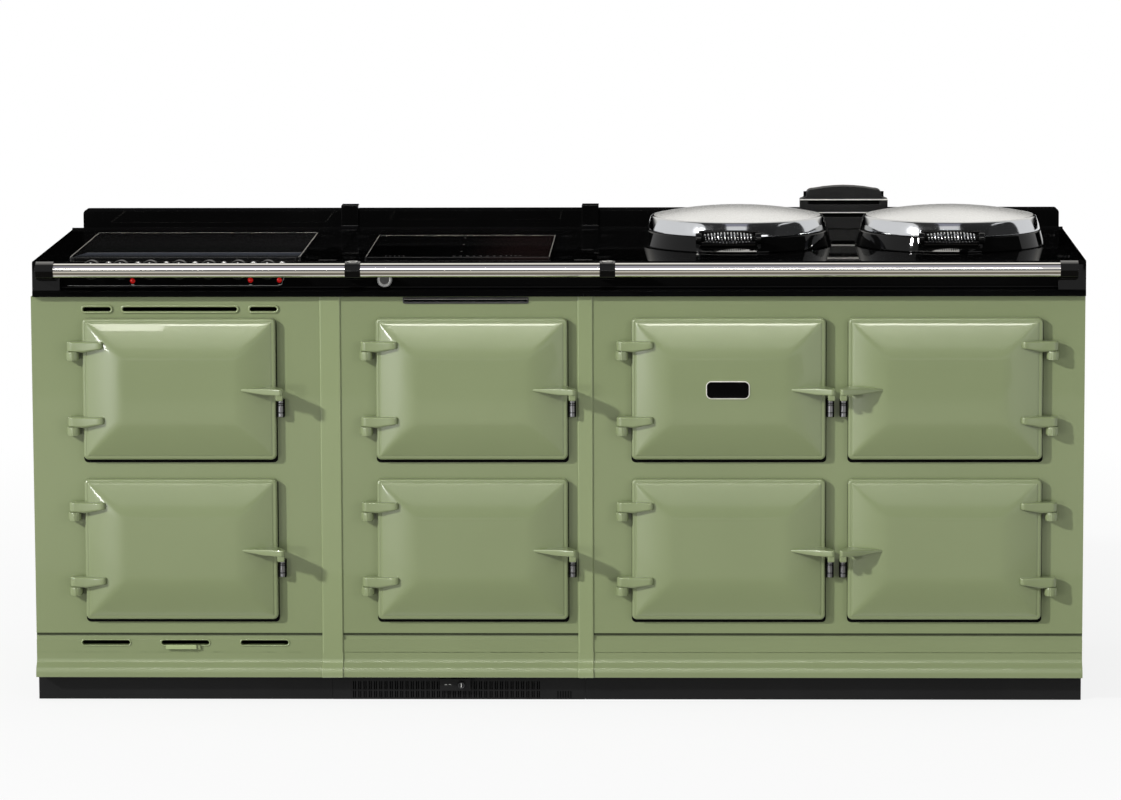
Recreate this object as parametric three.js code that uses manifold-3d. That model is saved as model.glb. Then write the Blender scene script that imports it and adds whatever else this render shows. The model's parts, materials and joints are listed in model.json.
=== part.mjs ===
// Cast iron range cooker, 2.1 m wide: a two-oven module with a glass hob and control
// panel on the left, a two-oven module with a glass hob in the middle, and a four-oven
// heat-storage module with two lidded hotplates on the right.
// Millimetres, +Z up, the front faces -Y, the origin is on the floor under the middle.

import * as THREE from 'three';
import { mergeVertices } from 'three/addons/utils/BufferGeometryUtils.js';
import Module from 'manifold-3d';

const wasm = await Module();
wasm.setup();

// ---------------------------------------------------------------- driving dimensions

const gap = 0.3; // running clearance between pieces that seat on each other
const plateSides = 36;
const linerSides = 40;

// Overall body
const leftModuleWidth = 594.5;
const middleModuleWidth = 509;
const rightModuleWidth = 996.5;
const bodyDepth = 666; // front plate face to rear panel
const plinthHeight = 52;
const topHeight = 891; // cooking surface
const topCastingHeight = 70; // cooking surface to the underside of the top castings

// Plinth
const plinthRecess = 24;
const plinthWall = 4;
const plinthRearInset = 40;
const grilleMargins = [38.5, 82]; // to the ends of the middle module
const grillePitch = 10.6;
const grilleSlotWidth = 6;
const grilleRows = [[3, 17], [20, 37]];
const valveBoxOffset = 247.5; // from the left end of the middle module
const valveBoxSize = [62, 14, 24];
const valveBoxHeight = 32.5;
const valveKnobRadius = 7;
const valveKnobOffset = 13;
const valveKnobDepth = 9;

// Front castings
const plateThickness = 8;
const plateBottom = 140;
const grooveHeight = 14;
const grooveDepth = 3;
const mouldingTop = 96;
const mouldingNose = 82;
const skirtDepth = 16;
const skirtHeight = 71;
const jointStripThickness = 3;
const leftStripWidth = 42;
const rightStripWidth = 31;
const jointStripOffset = 3; // strip middles to the right of the joints
const ventTopDrop = 26; // slot centres below the underside of the top casting
const ventTopHeight = 9;
const ventTopOverhangs = [-1, 2.5]; // ends of the row of slots outside the door
const ventShortSlots = [56.4, 54.3];
const ventBridges = [23.3, 25.4];
const ventRimWidth = 3;
const ventRimHeight = 2;
const middleVentMargins = [56, 79.5]; // inside the door's edges
const middleVentHeight = 9;
const middleVentDrop = 4;
const baseSlotDrop = 20; // slot centres below the front plates
const baseSlotHeight = 9.4;
const baseSlotWidth = 96;
const baseSlotCount = 3;
const baseSlotOverhangs = [10.5, 18.5]; // ends of the row of slots outside the door
const pullTab = [61, 5, 9];

// Carcass
const panelThickness = 3;
const panelFlange = 30;

// Doors and ovens
const doorMargins = { left: [103, 105], middle: [95, 32], right: [95.5, 84] };
const doorColumnGap = 44.5; // between the two columns of doors on the right
const doorRowGap = 39;
const doorTopMargin = 43; // door to top casting
const doorBottomMargin = 30; // door to base panel
const doorRadius = 7;
const doorSeat = 2; // door back to front plate
const doorRimDepth = 15;
const doorCrown = 17;
const doorRimWidth = 11;
const doorSlopeWidth = 68;
const openingInset = 28; // door edge to oven mouth
const plugClearance = 5;
const plugDepth = 18;
const ovenDepth = 430;
const ovenWall = 6;
const ovenFlange = 10;

// Door hinges, fins and catches
const pinOutset = 19; // hinge pin axis outside the door's edge
const pinDepth = 18; // hinge pin axis in front of the front plate
const pinRadius = 4;
const pinLength = 12;
const pinSides = 12;
const lugRadius = 10;
const lugHeight = 18;
const lugLength = 62;
const lugShoulder = 26; // where the underside of a lug starts to rise
const lugTip = 3;
const lugDrops = [56.5, 208]; // lug centres below the top edge of the door
const bossHeight = 17;
const bossHalfWidth = 12;
const finThickness = 13;
const finTip = 5; // thickness of its inboard tip
const finInboard = 74;
const finTaper = 30; // where it reaches full thickness
const finNose = 3; // set-back of its outer corner
const finNeck = 14; // depth of its outer end
const finOutboard = 18;
const finProjection = 72;
const finLipDrop = 12;
const finLipWidth = 8;
const catchGap = 3;
const catchSize = [12, 16, 36];
const catchDrop = 181;

// Top castings
const topThickness = 8;
const lipDepth = 15;
const lipHeight = 13;
const facing = 18; // recessed front face behind the front plate line
const nosingHeight = 7;
const recessRadius = 9;
const recessFoot = 4;
const nosingDepth = 11;
const recessEnd = 55; // corner block width
const topOverhang = 17; // top castings past the rear panel
const topEndInset = 5; // left end of the top castings inside the body's side
const riserDepth = 35;
const riserHeight = 43;
const riserEndInsets = { left: 24, right: 8 };
const riserCorner = 10; // rounding of the riser's outer ends
const riserBead = 4; // fillet along the foot of the riser
const capRadius = 12; // flat caps near the corners of the castings
const capHeight = 2;
const capInset = 38;
const capDepths = [80, 505];
const topStripWidth = 36;
const topStripThickness = 3;
const riserCapRise = 8;

// Handrails
const railRadius = 14;
const railOffset = 62; // rail centre in front of the front plate
const railDrop = 12; // rail centre below the cooking surface
const railEndInset = 20;
const railBoss = 18;
const armFoot = 28; // foot of a rail arm below the rail's centre
const bracketWidth = 31;
const bracketOffsets = [54, 49]; // bracket centres to the right of the module joints
const socketLap = 18;

// Hobs
const glassThickness = 4;
const glassBevel = 1;
const hobFront = 34;
const hobMargins = { left: [73.5, 57.5, 108], middle: [72, 67.5, 174] }; // left, right, riser
const hobLedge = 20;
const hobTrayDepth = 32;

// Controls
const panelEndGap = 10; // from the corner block
const panelRightMargin = 79.5; // to the module joint
const panelSlant = 24;
const panelRise = [5, 44]; // bottom and top of the panel above the lip
const panelPlate = 3;
const knobDrop = 14; // knob centres below the cooking surface
const knobRadius = 20;
const knobDepth = 22;
const knobFront = 40;
const knobCollar = 5;
const shaftSides = 10;
const knobCount = 7;
const knobMargins = [61, 38]; // first and last knob from the ends of the panel
const buttonOffset = 112.5; // from the left end of the middle module
const buttonDrop = 39; // below the cooking surface
const buttonRadius = 15;
const buttonStemRadius = 8;
const buttonTravel = 3;
const buttonRise = 12;

// Hotplates and lids
const lidSpacing = 434.4;
const lidOffset = 26.8; // middle of the pair to the right of the module's middle
const lidDepth = 330;
const hotplateRadius = 164;
const hotplateFlange = 172;
const hotplateFlangeHeight = 7;
const hotplateBelow = 48;
const linerRadius = 193.5;
const linerTopRadius = 186;
const linerHeight = 31;
const linerRim = 13;
const linerEdge = 2.5;
const linerCeiling = 13;
const coverRadius = 184.5;
const coverBreakRadius = 156.5;
const coverBandHeight = 27;
const coverCrown = 20;
const coverCrownProfile = [[0.75, 0.5], [0.45, 0.82]]; // parts of the break radius and the crown
const coverWall = 2.5;
const lidHingeReach = 15.5; // hinge pin behind the lid
const lidHingeHeight = 20; // above the cooking surface
const lidPinRadius = 5;
const lidKnuckleRadius = 10;
const lidKnuckleWidth = 50;
const lidLugWidth = 12;
const handleDepth = 100;
const handleRise = 36; // grip centres above the cooking surface
const handleOffsets = [-19, -6.8]; // grips from the middles of the lids
const handlePostSpan = 120;
const handlePostWidth = 12;
const handlePostRadius = 11;
const coilLength = 100;
const coilRadius = 13; // at the middle of the barrel-shaped spring
const coilEndRadius = 9;
const coilWire = 3;
const coilTurns = 15;
const handleRod = 5;

// Vent cowl
const cowlWidth = 185;
const cowlCapWidth = 158;
const cowlOffset = 10; // from the middle between the lids
const cowlOverlap = 6; // cowl face in front of the riser
const cowlHeight = 90;
const cowlShoulder = 62;
const cowlWall = 4;
const cowlCorner = [16, 6]; // width and drop of the rounded top corners
const louvreHeights = [30, 57];
const louvreSlot = 10;
const louvreWidth = 150;

// ---------------------------------------------------------------- derived places

const bodyWidth = leftModuleWidth + middleModuleWidth + rightModuleWidth;
const halfWidth = bodyWidth / 2;
const modules = {
  left: [-halfWidth, -halfWidth + leftModuleWidth],
  middle: [-halfWidth + leftModuleWidth, -halfWidth + leftModuleWidth + middleModuleWidth],
  right: [-halfWidth + leftModuleWidth + middleModuleWidth, halfWidth],
};
const joints = [modules.left[1], modules.middle[1]];
const bodyTop = topHeight - topCastingHeight;
const facingTop = topHeight - nosingHeight;
const railHeight = topHeight - railDrop;
const knobHeight = topHeight - knobDrop;
const buttonHeight = topHeight - buttonDrop;
const handleHeight = topHeight + handleRise;
const topRear = bodyDepth + topOverhang;
const frontReach = railOffset + railBoss;
const groupShift = (frontReach - topRear) / 2;
const riserFront = topRear - riserDepth;
const riserTop = topHeight + riserHeight;
const lipTop = bodyTop + lipHeight;
const bracketCentres = joints.map((x, i) => x + bracketOffsets[i]);
const middleOf = (span) => (span[0] + span[1]) / 2;

// Doors: the columns fill their modules between margins, the rows fill the plates.
const doorHeight = (bodyTop - plateBottom - doorTopMargin - doorBottomMargin - doorRowGap) / 2;
const rows = [
  { name: 'top', centre: bodyTop - doorTopMargin - doorHeight / 2 },
  { name: 'bottom', centre: plateBottom + doorBottomMargin + doorHeight / 2 },
];
const doorSpan = (name) => [
  modules[name][0] + doorMargins[name][0],
  modules[name][1] - doorMargins[name][1],
];
const doorSpans = { left: doorSpan('left'), middle: doorSpan('middle'), right: doorSpan('right') };
const rightSplit = middleOf(doorSpans.right);
const columns = [
  { name: 'left', span: doorSpans.left, hinge: -1 },
  { name: 'middle', span: doorSpans.middle, hinge: -1 },
  { name: 'right_inner', span: [doorSpans.right[0], rightSplit - doorColumnGap / 2], hinge: -1 },
  { name: 'right_outer', span: [rightSplit + doorColumnGap / 2, doorSpans.right[1]], hinge: 1 },
].map((column) => ({
  ...column,
  centre: middleOf(column.span),
  width: column.span[1] - column.span[0],
}));

// Hobs and controls
const hobs = ['left', 'middle'].map((name) => {
  const [left, right, behind] = hobMargins[name];
  const span = [modules[name][0] + left, modules[name][1] - right];
  return {
    name: `hob_${name}`,
    centre: middleOf(span),
    width: span[1] - span[0],
    front: hobFront,
    rear: riserFront - behind,
  };
});
const panelLeft = modules.left[0] + recessEnd + panelEndGap;
const panelRight = modules.left[1] - panelRightMargin;
const panelBottom = lipTop + panelRise[0];
const panelTop = lipTop + panelRise[1];
const knobRow = [panelLeft + knobMargins[0], panelRight - knobMargins[1]];
const knobCentres = Array.from(
  { length: knobCount },
  (_, i) => knobRow[0] + ((knobRow[1] - knobRow[0]) * i) / (knobCount - 1),
);
const buttonCentre = modules.middle[0] + buttonOffset;

// Lids and cowl
const lidMiddle = middleOf(modules.right) + lidOffset;
const lidCentres = [lidMiddle - lidSpacing / 2, lidMiddle + lidSpacing / 2];
const lidHingeDepth = lidDepth + linerRadius + lidHingeReach;
const cowlCentre = lidMiddle + cowlOffset;
const cowlFront = riserFront - cowlOverlap;

// Slots
const grilleSpan = [modules.middle[0] + grilleMargins[0], modules.middle[1] - grilleMargins[1]];
const valveBoxCentre = modules.middle[0] + valveBoxOffset;
const ventTopCentre = bodyTop - ventTopDrop;
const ventRow = [doorSpans.left[0] - ventTopOverhangs[0], doorSpans.left[1] + ventTopOverhangs[1]];
const ventTopSlots = [
  [ventRow[0], ventRow[0] + ventShortSlots[0]],
  [ventRow[0] + ventShortSlots[0] + ventBridges[0], ventRow[1] - ventShortSlots[1] - ventBridges[1]],
  [ventRow[1] - ventShortSlots[1], ventRow[1]],
];
const middleVent = [
  doorSpans.middle[0] + middleVentMargins[0],
  doorSpans.middle[1] - middleVentMargins[1],
];
const baseSlotCentre = plateBottom - baseSlotDrop;
const baseRow = [
  doorSpans.left[0] - baseSlotOverhangs[0] + baseSlotWidth / 2,
  doorSpans.left[1] + baseSlotOverhangs[1] - baseSlotWidth / 2,
];
const baseSlots = Array.from(
  { length: baseSlotCount },
  (_, i) => baseRow[0] + ((baseRow[1] - baseRow[0]) * i) / (baseSlotCount - 1),
);

// ---------------------------------------------------------------- solids

function solid(geometry) {
  const bare = geometry.index ? geometry.toNonIndexed() : geometry.clone();
  bare.deleteAttribute('normal');
  bare.deleteAttribute('uv');
  const merged = mergeVertices(bare, 1e-3);
  return new wasm.Manifold(new wasm.Mesh({
    numProp: 3,
    vertProperties: new Float32Array(merged.attributes.position.array),
    triVerts: new Uint32Array(merged.index.array),
  }));
}

function surface(body) {
  const mesh = body.getMesh();
  const geometry = new THREE.BufferGeometry();
  geometry.setAttribute('position', new THREE.BufferAttribute(mesh.vertProperties, 3));
  geometry.setIndex(new THREE.BufferAttribute(mesh.triVerts, 1));
  geometry.computeVertexNormals();
  return geometry;
}

function block(x, y, z) {
  const geometry = new THREE.BoxGeometry(x[1] - x[0], y[1] - y[0], z[1] - z[0]);
  geometry.translate((x[0] + x[1]) / 2, (y[0] + y[1]) / 2, (z[0] + z[1]) / 2);
  return solid(geometry);
}

function rod(from, to, radius, sides = 20) {
  const start = new THREE.Vector3(...from);
  const end = new THREE.Vector3(...to);
  const along = end.clone().sub(start);
  const geometry = new THREE.CylinderGeometry(radius, radius, along.length(), sides);
  const turn = new THREE.Quaternion().setFromUnitVectors(
    new THREE.Vector3(0, 1, 0),
    along.clone().normalize(),
  );
  geometry.applyQuaternion(turn);
  geometry.translate(...start.add(end).multiplyScalar(0.5).toArray());
  return solid(geometry);
}

function lathe(profile, sides) {
  const points = profile.map(([r, z]) => new THREE.Vector2(r, z));
  const geometry = new THREE.LatheGeometry(points, sides);
  geometry.rotateX(Math.PI / 2);
  return geometry;
}

// An upright drum with the same facets as a lathe of as many sides.
function drum(x, y, radius, z, sides) {
  const geometry = lathe([[0, z[0]], [radius, z[0]], [radius, z[1]], [0, z[1]]], sides);
  geometry.translate(x, y, 0);
  return solid(geometry);
}

function extrude(shape, length, options = {}) {
  return new THREE.ExtrudeGeometry(shape, {
    depth: length,
    bevelEnabled: false,
    curveSegments: 2,
    ...options,
  });
}

// A section drawn in (Y, Z), swept along X.
function alongX(shape, x) {
  const geometry = extrude(shape, x[1] - x[0]);
  const basis = new THREE.Matrix4().makeBasis(
    new THREE.Vector3(0, 1, 0),
    new THREE.Vector3(0, 0, 1),
    new THREE.Vector3(1, 0, 0),
  );
  geometry.applyMatrix4(basis);
  geometry.translate(x[0], 0, 0);
  return solid(geometry);
}

// A section drawn in (X, Z), swept along Y.
function alongY(shape, y, options = { curveSegments: 1 }) {
  const geometry = extrude(shape, y[1] - y[0], options);
  geometry.rotateX(Math.PI / 2);
  geometry.translate(0, y[1], 0);
  return solid(geometry);
}

// A section drawn in (X, Y), swept along Z.
function alongZ(shape, z) {
  const geometry = extrude(shape, z[1] - z[0]);
  geometry.translate(0, 0, z[0]);
  return solid(geometry);
}

function polygon(points) {
  return new THREE.Shape(points.map(([u, v]) => new THREE.Vector2(u, v)));
}

function roundedRectangle(u, v, radius) {
  const shape = new THREE.Shape();
  shape.moveTo(u[0] + radius, v[0]);
  shape.lineTo(u[1] - radius, v[0]);
  shape.absarc(u[1] - radius, v[0] + radius, radius, -Math.PI / 2, 0);
  shape.lineTo(u[1], v[1] - radius);
  shape.absarc(u[1] - radius, v[1] - radius, radius, 0, Math.PI / 2);
  shape.lineTo(u[0] + radius, v[1]);
  shape.absarc(u[0] + radius, v[1] - radius, radius, Math.PI / 2, Math.PI);
  shape.lineTo(u[0], v[0] + radius);
  shape.absarc(u[0] + radius, v[0] + radius, radius, Math.PI, 1.5 * Math.PI);
  return shape;
}

function around(centre, size) {
  return [centre - size / 2, centre + size / 2];
}

function joined(parts) {
  return parts.reduce((whole, part) => whole.add(part));
}

function cut(body, cutters) {
  return cutters.reduce((whole, cutter) => whole.subtract(cutter), body);
}

// ---------------------------------------------------------------- materials

const greenEnamel = new THREE.MeshStandardMaterial({ color: 0x8a9670, roughness: 0.25, metalness: 0.1 });
const blackEnamel = new THREE.MeshStandardMaterial({ color: 0x0c0c0d, roughness: 0.12, metalness: 0.1 });
const darkPaint = new THREE.MeshStandardMaterial({ color: 0x2b2d2e, roughness: 0.5, metalness: 0.4 });
const castIron = new THREE.MeshStandardMaterial({ color: 0x3a3835, roughness: 0.6, metalness: 0.6 });
const polishedSteel = new THREE.MeshStandardMaterial({ color: 0xd8d4cc, roughness: 0.12, metalness: 1 });
const brushedSteel = new THREE.MeshStandardMaterial({ color: 0xb9bcbf, roughness: 0.35, metalness: 1 });
const sheetSteel = new THREE.MeshStandardMaterial({ color: 0x777a7c, roughness: 0.5, metalness: 0.8 });
const darkGlass = new THREE.MeshStandardMaterial({ color: 0x101113, roughness: 0.08, metalness: 0 });
const blackPlastic = new THREE.MeshStandardMaterial({ color: 0x151515, roughness: 0.3, metalness: 0 });

const cooker = new THREE.Group();
cooker.position.set(0, groupShift, 0);

function add(name, geometry, material) {
  const mesh = new THREE.Mesh(geometry, material);
  mesh.name = name;
  cooker.add(mesh);
  return mesh;
}

// ---------------------------------------------------------------- plinth

function plinthRing(x) {
  const y = [plinthRecess, bodyDepth - plinthRearInset];
  const z = [0, plinthHeight - gap];
  const outer = block(x, y, z);
  const hollow = block(
    [x[0] + plinthWall, x[1] - plinthWall],
    [y[0] + plinthWall, y[1] - plinthWall],
    [z[0] - 1, z[1] + 1],
  );
  return outer.subtract(hollow);
}

function grilleSlots() {
  const count = Math.floor((grilleSpan[1] - grilleSpan[0]) / grillePitch);
  const slots = [];
  for (let i = 0; i < count; i += 1) {
    const centre = grilleSpan[0] + (i + 0.5) * grillePitch;
    for (const z of grilleRows) {
      slots.push(block(around(centre, grilleSlotWidth), around(plinthRecess, 3 * plinthWall), z));
    }
  }
  return joined(slots);
}

function buildPlinths() {
  const [boxWidth, boxDepth, boxHeight] = valveBoxSize;
  const valveBox = block(
    around(valveBoxCentre, boxWidth),
    [plinthRecess - boxDepth, plinthRecess + plinthWall],
    around(valveBoxHeight, boxHeight),
  );
  const left = [modules.left[0], modules.left[1] - gap];
  const right = [modules.right[0] + gap, modules.right[1]];
  const middle = plinthRing(modules.middle).subtract(grilleSlots()).add(valveBox);
  add('plinth_left', surface(plinthRing(left)), darkPaint);
  add('plinth_middle', surface(middle), darkPaint);
  add('plinth_right', surface(plinthRing(right)), darkPaint);

  const knob = lathe([
    [0, 0],
    [valveKnobRadius, 0],
    [valveKnobRadius, valveKnobDepth - 2],
    [valveKnobRadius - 2, valveKnobDepth],
    [0, valveKnobDepth],
  ], 16);
  knob.rotateX(Math.PI / 2);
  knob.translate(valveBoxCentre + valveKnobOffset, plinthRecess - boxDepth - gap, valveBoxHeight);
  add('plinth_valve_knob', surface(solid(knob)), brushedSteel);
}

// ---------------------------------------------------------------- front castings

function pinX(column) {
  return column.centre + column.hinge * (column.width / 2 + pinOutset);
}

function hingeBoss(column, row, drop) {
  const x = pinX(column);
  const top = row.centre + doorHeight / 2 - drop - lugHeight / 2 - gap;
  const plan = new THREE.Shape();
  plan.moveTo(x - bossHalfWidth, plateThickness / 2);
  plan.lineTo(x - bossHalfWidth, -pinDepth);
  plan.absarc(x, -pinDepth, bossHalfWidth, Math.PI, 2 * Math.PI);
  plan.lineTo(x + bossHalfWidth, plateThickness / 2);
  const boss = alongZ(plan, [top - bossHeight, top]);
  const pin = rod([x, -pinDepth, top - 1], [x, -pinDepth, top + pinLength], pinRadius, pinSides);
  return boss.add(pin);
}

function catchBlock(column, row) {
  const side = -column.hinge;
  const edge = column.centre + side * column.width / 2;
  const [width, depth, height] = catchSize;
  const near = edge + side * catchGap;
  const far = near + side * width;
  const middle = row.centre + doorHeight / 2 - catchDrop;
  return block(
    [Math.min(near, far), Math.max(near, far)],
    [-depth, plateThickness / 2],
    around(middle, height),
  );
}

function mouthWindow(column, row, grow, y) {
  const [left, right] = column.span;
  const inset = openingInset - grow;
  return alongY(
    roundedRectangle(
      [left + inset, right - inset],
      around(row.centre, doorHeight - 2 * inset),
      doorRadius,
    ),
    y,
  );
}

function slotWithRim(span) {
  const outline = roundedRectangle(
    [span[0] - ventRimWidth, span[1] + ventRimWidth],
    around(ventTopCentre, ventTopHeight + 2 * ventRimWidth),
    ventRimWidth,
  );
  const hole = block(
    span,
    [-2 * ventRimHeight, 2 * plateThickness],
    around(ventTopCentre, ventTopHeight),
  );
  return { rim: alongY(outline, [-ventRimHeight, plateThickness / 2]), hole };
}

function frontPlate(x, plateColumns, extras = [], holes = []) {
  let plate = block(x, [0, plateThickness], [plateBottom, bodyTop - gap]);
  plate = joined([plate, ...extras]);
  for (const column of plateColumns) {
    for (const row of rows) {
      plate = plate.subtract(mouthWindow(column, row, 0, [-1, plateThickness + 1]));
      plate = plate.add(catchBlock(column, row));
      for (const drop of lugDrops) plate = plate.add(hingeBoss(column, row, drop));
    }
  }
  return cut(plate, holes);
}

// The front of the base moulding: a flat, a cove, a nose and a skirting.
function mouldingFront(outset) {
  const points = [];
  const steps = 4;
  for (let i = 0; i <= steps; i += 1) {
    const t = i / steps;
    const depth = skirtDepth * (1 - Math.cos(t * Math.PI / 2));
    points.push([-depth - outset, mouldingTop - (mouldingTop - mouldingNose) * Math.sin(t * Math.PI / 2)]);
  }
  points.push([-skirtDepth - 1.5 - outset, (mouldingNose + skirtHeight) / 2]);
  points.push([-skirtDepth - outset, skirtHeight]);
  points.push([-skirtDepth - outset, plinthHeight]);
  return points;
}

function basePanel(x, cutters = []) {
  const rear = plateThickness + 2 * panelThickness;
  const grooveTop = plateBottom - gap;
  const section = polygon([
    [0, plateBottom - grooveHeight],
    ...mouldingFront(0),
    [rear, plinthHeight],
    [rear, grooveTop],
    [grooveDepth, grooveTop],
    [grooveDepth, plateBottom - grooveHeight],
  ]);
  return cut(alongX(section, x), cutters);
}

function jointStrip(centre, width) {
  const back = mouldingFront(gap);
  const front = mouldingFront(gap + jointStripThickness);
  const section = polygon([
    [-gap, bodyTop - gap],
    [-gap - jointStripThickness, bodyTop - gap],
    ...front,
    ...back.reverse(),
  ]);
  return alongX(section, around(centre, width));
}

function buildFront() {
  const half = gap / 2;
  const left = [modules.left[0], modules.left[1] - half];
  const middle = [modules.middle[0] + half, modules.middle[1] - half];
  const right = [modules.right[0] + half, modules.right[1]];
  const vents = ventTopSlots.map(slotWithRim);
  const ventHole = block(
    middleVent,
    [-1, plateThickness + 1],
    [bodyTop - middleVentDrop - middleVentHeight, bodyTop - middleVentDrop],
  );
  const leftPlate = frontPlate(
    left,
    [columns[0]],
    vents.map((vent) => vent.rim),
    vents.map((vent) => vent.hole),
  );
  add('front_plate_left', surface(leftPlate), greenEnamel);
  add('front_plate_middle', surface(frontPlate(middle, [columns[1]], [], [ventHole])), greenEnamel);
  add('front_plate_right', surface(frontPlate(right, columns.slice(2))), greenEnamel);

  const slots = baseSlots.map((centre) => alongY(
    roundedRectangle(
      around(centre, baseSlotWidth),
      around(baseSlotCentre, baseSlotHeight),
      baseSlotHeight / 2 - gap,
    ),
    [-1, plateThickness + 4 * panelThickness],
    { curveSegments: 3 },
  ));
  const tab = block(
    around(baseSlots[1], pullTab[0]),
    [-pullTab[1], plateThickness],
    [baseSlotCentre - baseSlotHeight / 2 - pullTab[2], baseSlotCentre - baseSlotHeight / 2],
  );
  add('base_panel_left', surface(basePanel(left, slots).add(tab)), greenEnamel);
  add('base_panel_middle', surface(basePanel(middle)), greenEnamel);
  add('base_panel_right', surface(basePanel(right)), greenEnamel);
  add('joint_strip_left', surface(jointStrip(joints[0] + jointStripOffset, leftStripWidth)), greenEnamel);
  add('joint_strip_right', surface(jointStrip(joints[1] + jointStripOffset, rightStripWidth)), greenEnamel);
}

// ---------------------------------------------------------------- carcass

function sidePanel(side) {
  const outer = side * halfWidth;
  const inner = outer - side * panelThickness;
  const flangeEnd = outer - side * panelFlange;
  const front = plateThickness + 2 * panelThickness + gap;
  const rear = bodyDepth - panelThickness - gap;
  const plan = polygon([
    [outer, front],
    [outer, rear],
    [flangeEnd, rear],
    [flangeEnd, rear - panelThickness],
    [inner, rear - panelThickness],
    [inner, front],
  ]);
  return alongZ(plan, [plinthHeight, bodyTop - gap]);
}

function carcass() {
  const front = plateThickness + 2 * panelThickness + gap;
  const section = polygon([
    [front, plinthHeight],
    [bodyDepth, plinthHeight],
    [bodyDepth, bodyTop - gap],
    [bodyDepth - panelThickness, bodyTop - gap],
    [bodyDepth - panelThickness, plinthHeight + panelThickness],
    [front, plinthHeight + panelThickness],
  ]);
  const inside = halfWidth - panelFlange - gap;
  const sheet = alongX(section, [-inside, inside]);
  const rearSheet = block(
    [-halfWidth, halfWidth],
    [bodyDepth - panelThickness, bodyDepth],
    [plinthHeight, bodyTop - gap],
  );
  return sheet.add(rearSheet);
}

function ovenLiner(column, row) {
  const front = plateThickness + gap;
  const flange = mouthWindow(column, row, ovenWall + ovenFlange, [front, front + ovenWall]);
  const shell = mouthWindow(column, row, ovenWall, [front, front + ovenDepth]);
  const cavity = mouthWindow(column, row, 0, [front - 1, front + ovenDepth - ovenWall]);
  return flange.add(shell).subtract(cavity);
}

function buildCarcass() {
  add('side_panel_left', surface(sidePanel(-1)), greenEnamel);
  add('side_panel_right', surface(sidePanel(1)), greenEnamel);
  add('rear_carcass', surface(carcass()), sheetSteel);
  for (const column of columns) {
    for (const row of rows) {
      add(`oven_liner_${column.name}_${row.name}`, surface(ovenLiner(column, row)), castIron);
    }
  }
}

// ---------------------------------------------------------------- doors

// A crowned casting: its four faces slope up from a narrow rim to a flat middle.
function doorPillow(column, row) {
  const inset = doorRimWidth + doorSlopeWidth;
  const [left, right] = column.span;
  const low = row.centre - doorHeight / 2;
  const high = row.centre + doorHeight / 2;
  const middle = polygon([
    [left + inset, low + inset],
    [right - inset, low + inset],
    [right - inset, high - inset],
    [left + inset, high - inset],
  ]);
  const rimPlane = -doorSeat - doorRimDepth;
  return alongY(middle, [rimPlane, rimPlane + 0.5], {
    bevelEnabled: true,
    bevelThickness: doorCrown,
    bevelSize: doorSlopeWidth,
    bevelSegments: 4,
  });
}

function doorLug(column, row, drop) {
  const x = pinX(column);
  const inward = -column.hinge;
  const centre = row.centre + doorHeight / 2 - drop;
  const plan = new THREE.Shape();
  const front = -pinDepth - lugRadius;
  const back = -pinDepth + lugRadius;
  plan.moveTo(x, back);
  plan.absarc(x, -pinDepth, lugRadius, Math.PI / 2, 1.5 * Math.PI, inward < 0);
  plan.lineTo(x + inward * lugLength, front);
  plan.lineTo(x + inward * lugLength, back);
  const bottom = centre - lugHeight / 2;
  const top = centre + lugHeight / 2;
  const elevation = polygon([
    [x - inward * (lugRadius + 1), bottom],
    [x + inward * lugShoulder, bottom],
    [x + inward * lugLength, top - lugTip],
    [x + inward * lugLength, top],
    [x - inward * (lugRadius + 1), top],
  ]);
  const bar = alongZ(plan, [bottom, top]).intersect(alongY(elevation, [front - 1, back + 1]));
  const bore = rod(
    [x, -pinDepth, bottom - 1],
    [x, -pinDepth, bottom + pinLength + gap],
    pinRadius + gap,
    pinSides,
  );
  return { bar, bore };
}

function doorFin(column, row) {
  const side = -column.hinge;
  const edge = column.centre + side * column.width / 2;
  const face = -doorSeat - doorRimDepth;
  const plan = polygon([
    [edge - side * finInboard, face - doorCrown / 2],
    [edge + side * (finOutboard - finLipWidth), -finProjection],
    [edge + side * finOutboard, -finProjection + finNose],
    [edge + side * finOutboard, -finProjection + finNeck],
    [edge - side * 2, face + 2],
    [edge - side * finInboard, face + 2],
  ]);
  const half = finThickness / 2;
  const elevation = polygon([
    [edge - side * finInboard, row.centre - finTip / 2],
    [edge - side * finTaper, row.centre - half],
    [edge + side * finOutboard, row.centre - half],
    [edge + side * finOutboard, row.centre + half],
    [edge - side * finTaper, row.centre + half],
    [edge - side * finInboard, row.centre + finTip / 2],
  ]);
  const fin = alongZ(plan, around(row.centre, finThickness))
    .intersect(alongY(elevation, [-finProjection - 1, 0]));
  const near = edge + side * (finOutboard - finLipWidth);
  const far = edge + side * finOutboard;
  const lip = block(
    [Math.min(near, far), Math.max(near, far)],
    [-finProjection + finNose, -finProjection + finNeck],
    [row.centre - half - finLipDrop, row.centre],
  );
  return fin.add(lip);
}

function door(column, row) {
  const [left, right] = column.span;
  const outline = roundedRectangle([left, right], around(row.centre, doorHeight), doorRadius);
  const rimPlane = -doorSeat - doorRimDepth;
  const slab = alongY(outline, [rimPlane, -doorSeat]);
  const plug = mouthWindow(column, row, -plugClearance, [-doorSeat - 1, plugDepth]);
  const lugs = lugDrops.map((drop) => doorLug(column, row, drop));
  const body = joined([
    slab,
    plug,
    doorPillow(column, row).intersect(alongY(outline, [rimPlane - doorCrown - 1, -doorSeat])),
    doorFin(column, row),
    ...lugs.map((lug) => lug.bar),
  ]);
  return cut(body, lugs.map((lug) => lug.bore));
}

function buildDoors() {
  for (const column of columns) {
    for (const row of rows) {
      add(`door_${column.name}_${row.name}`, surface(door(column, row)), greenEnamel);
    }
  }
}

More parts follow.
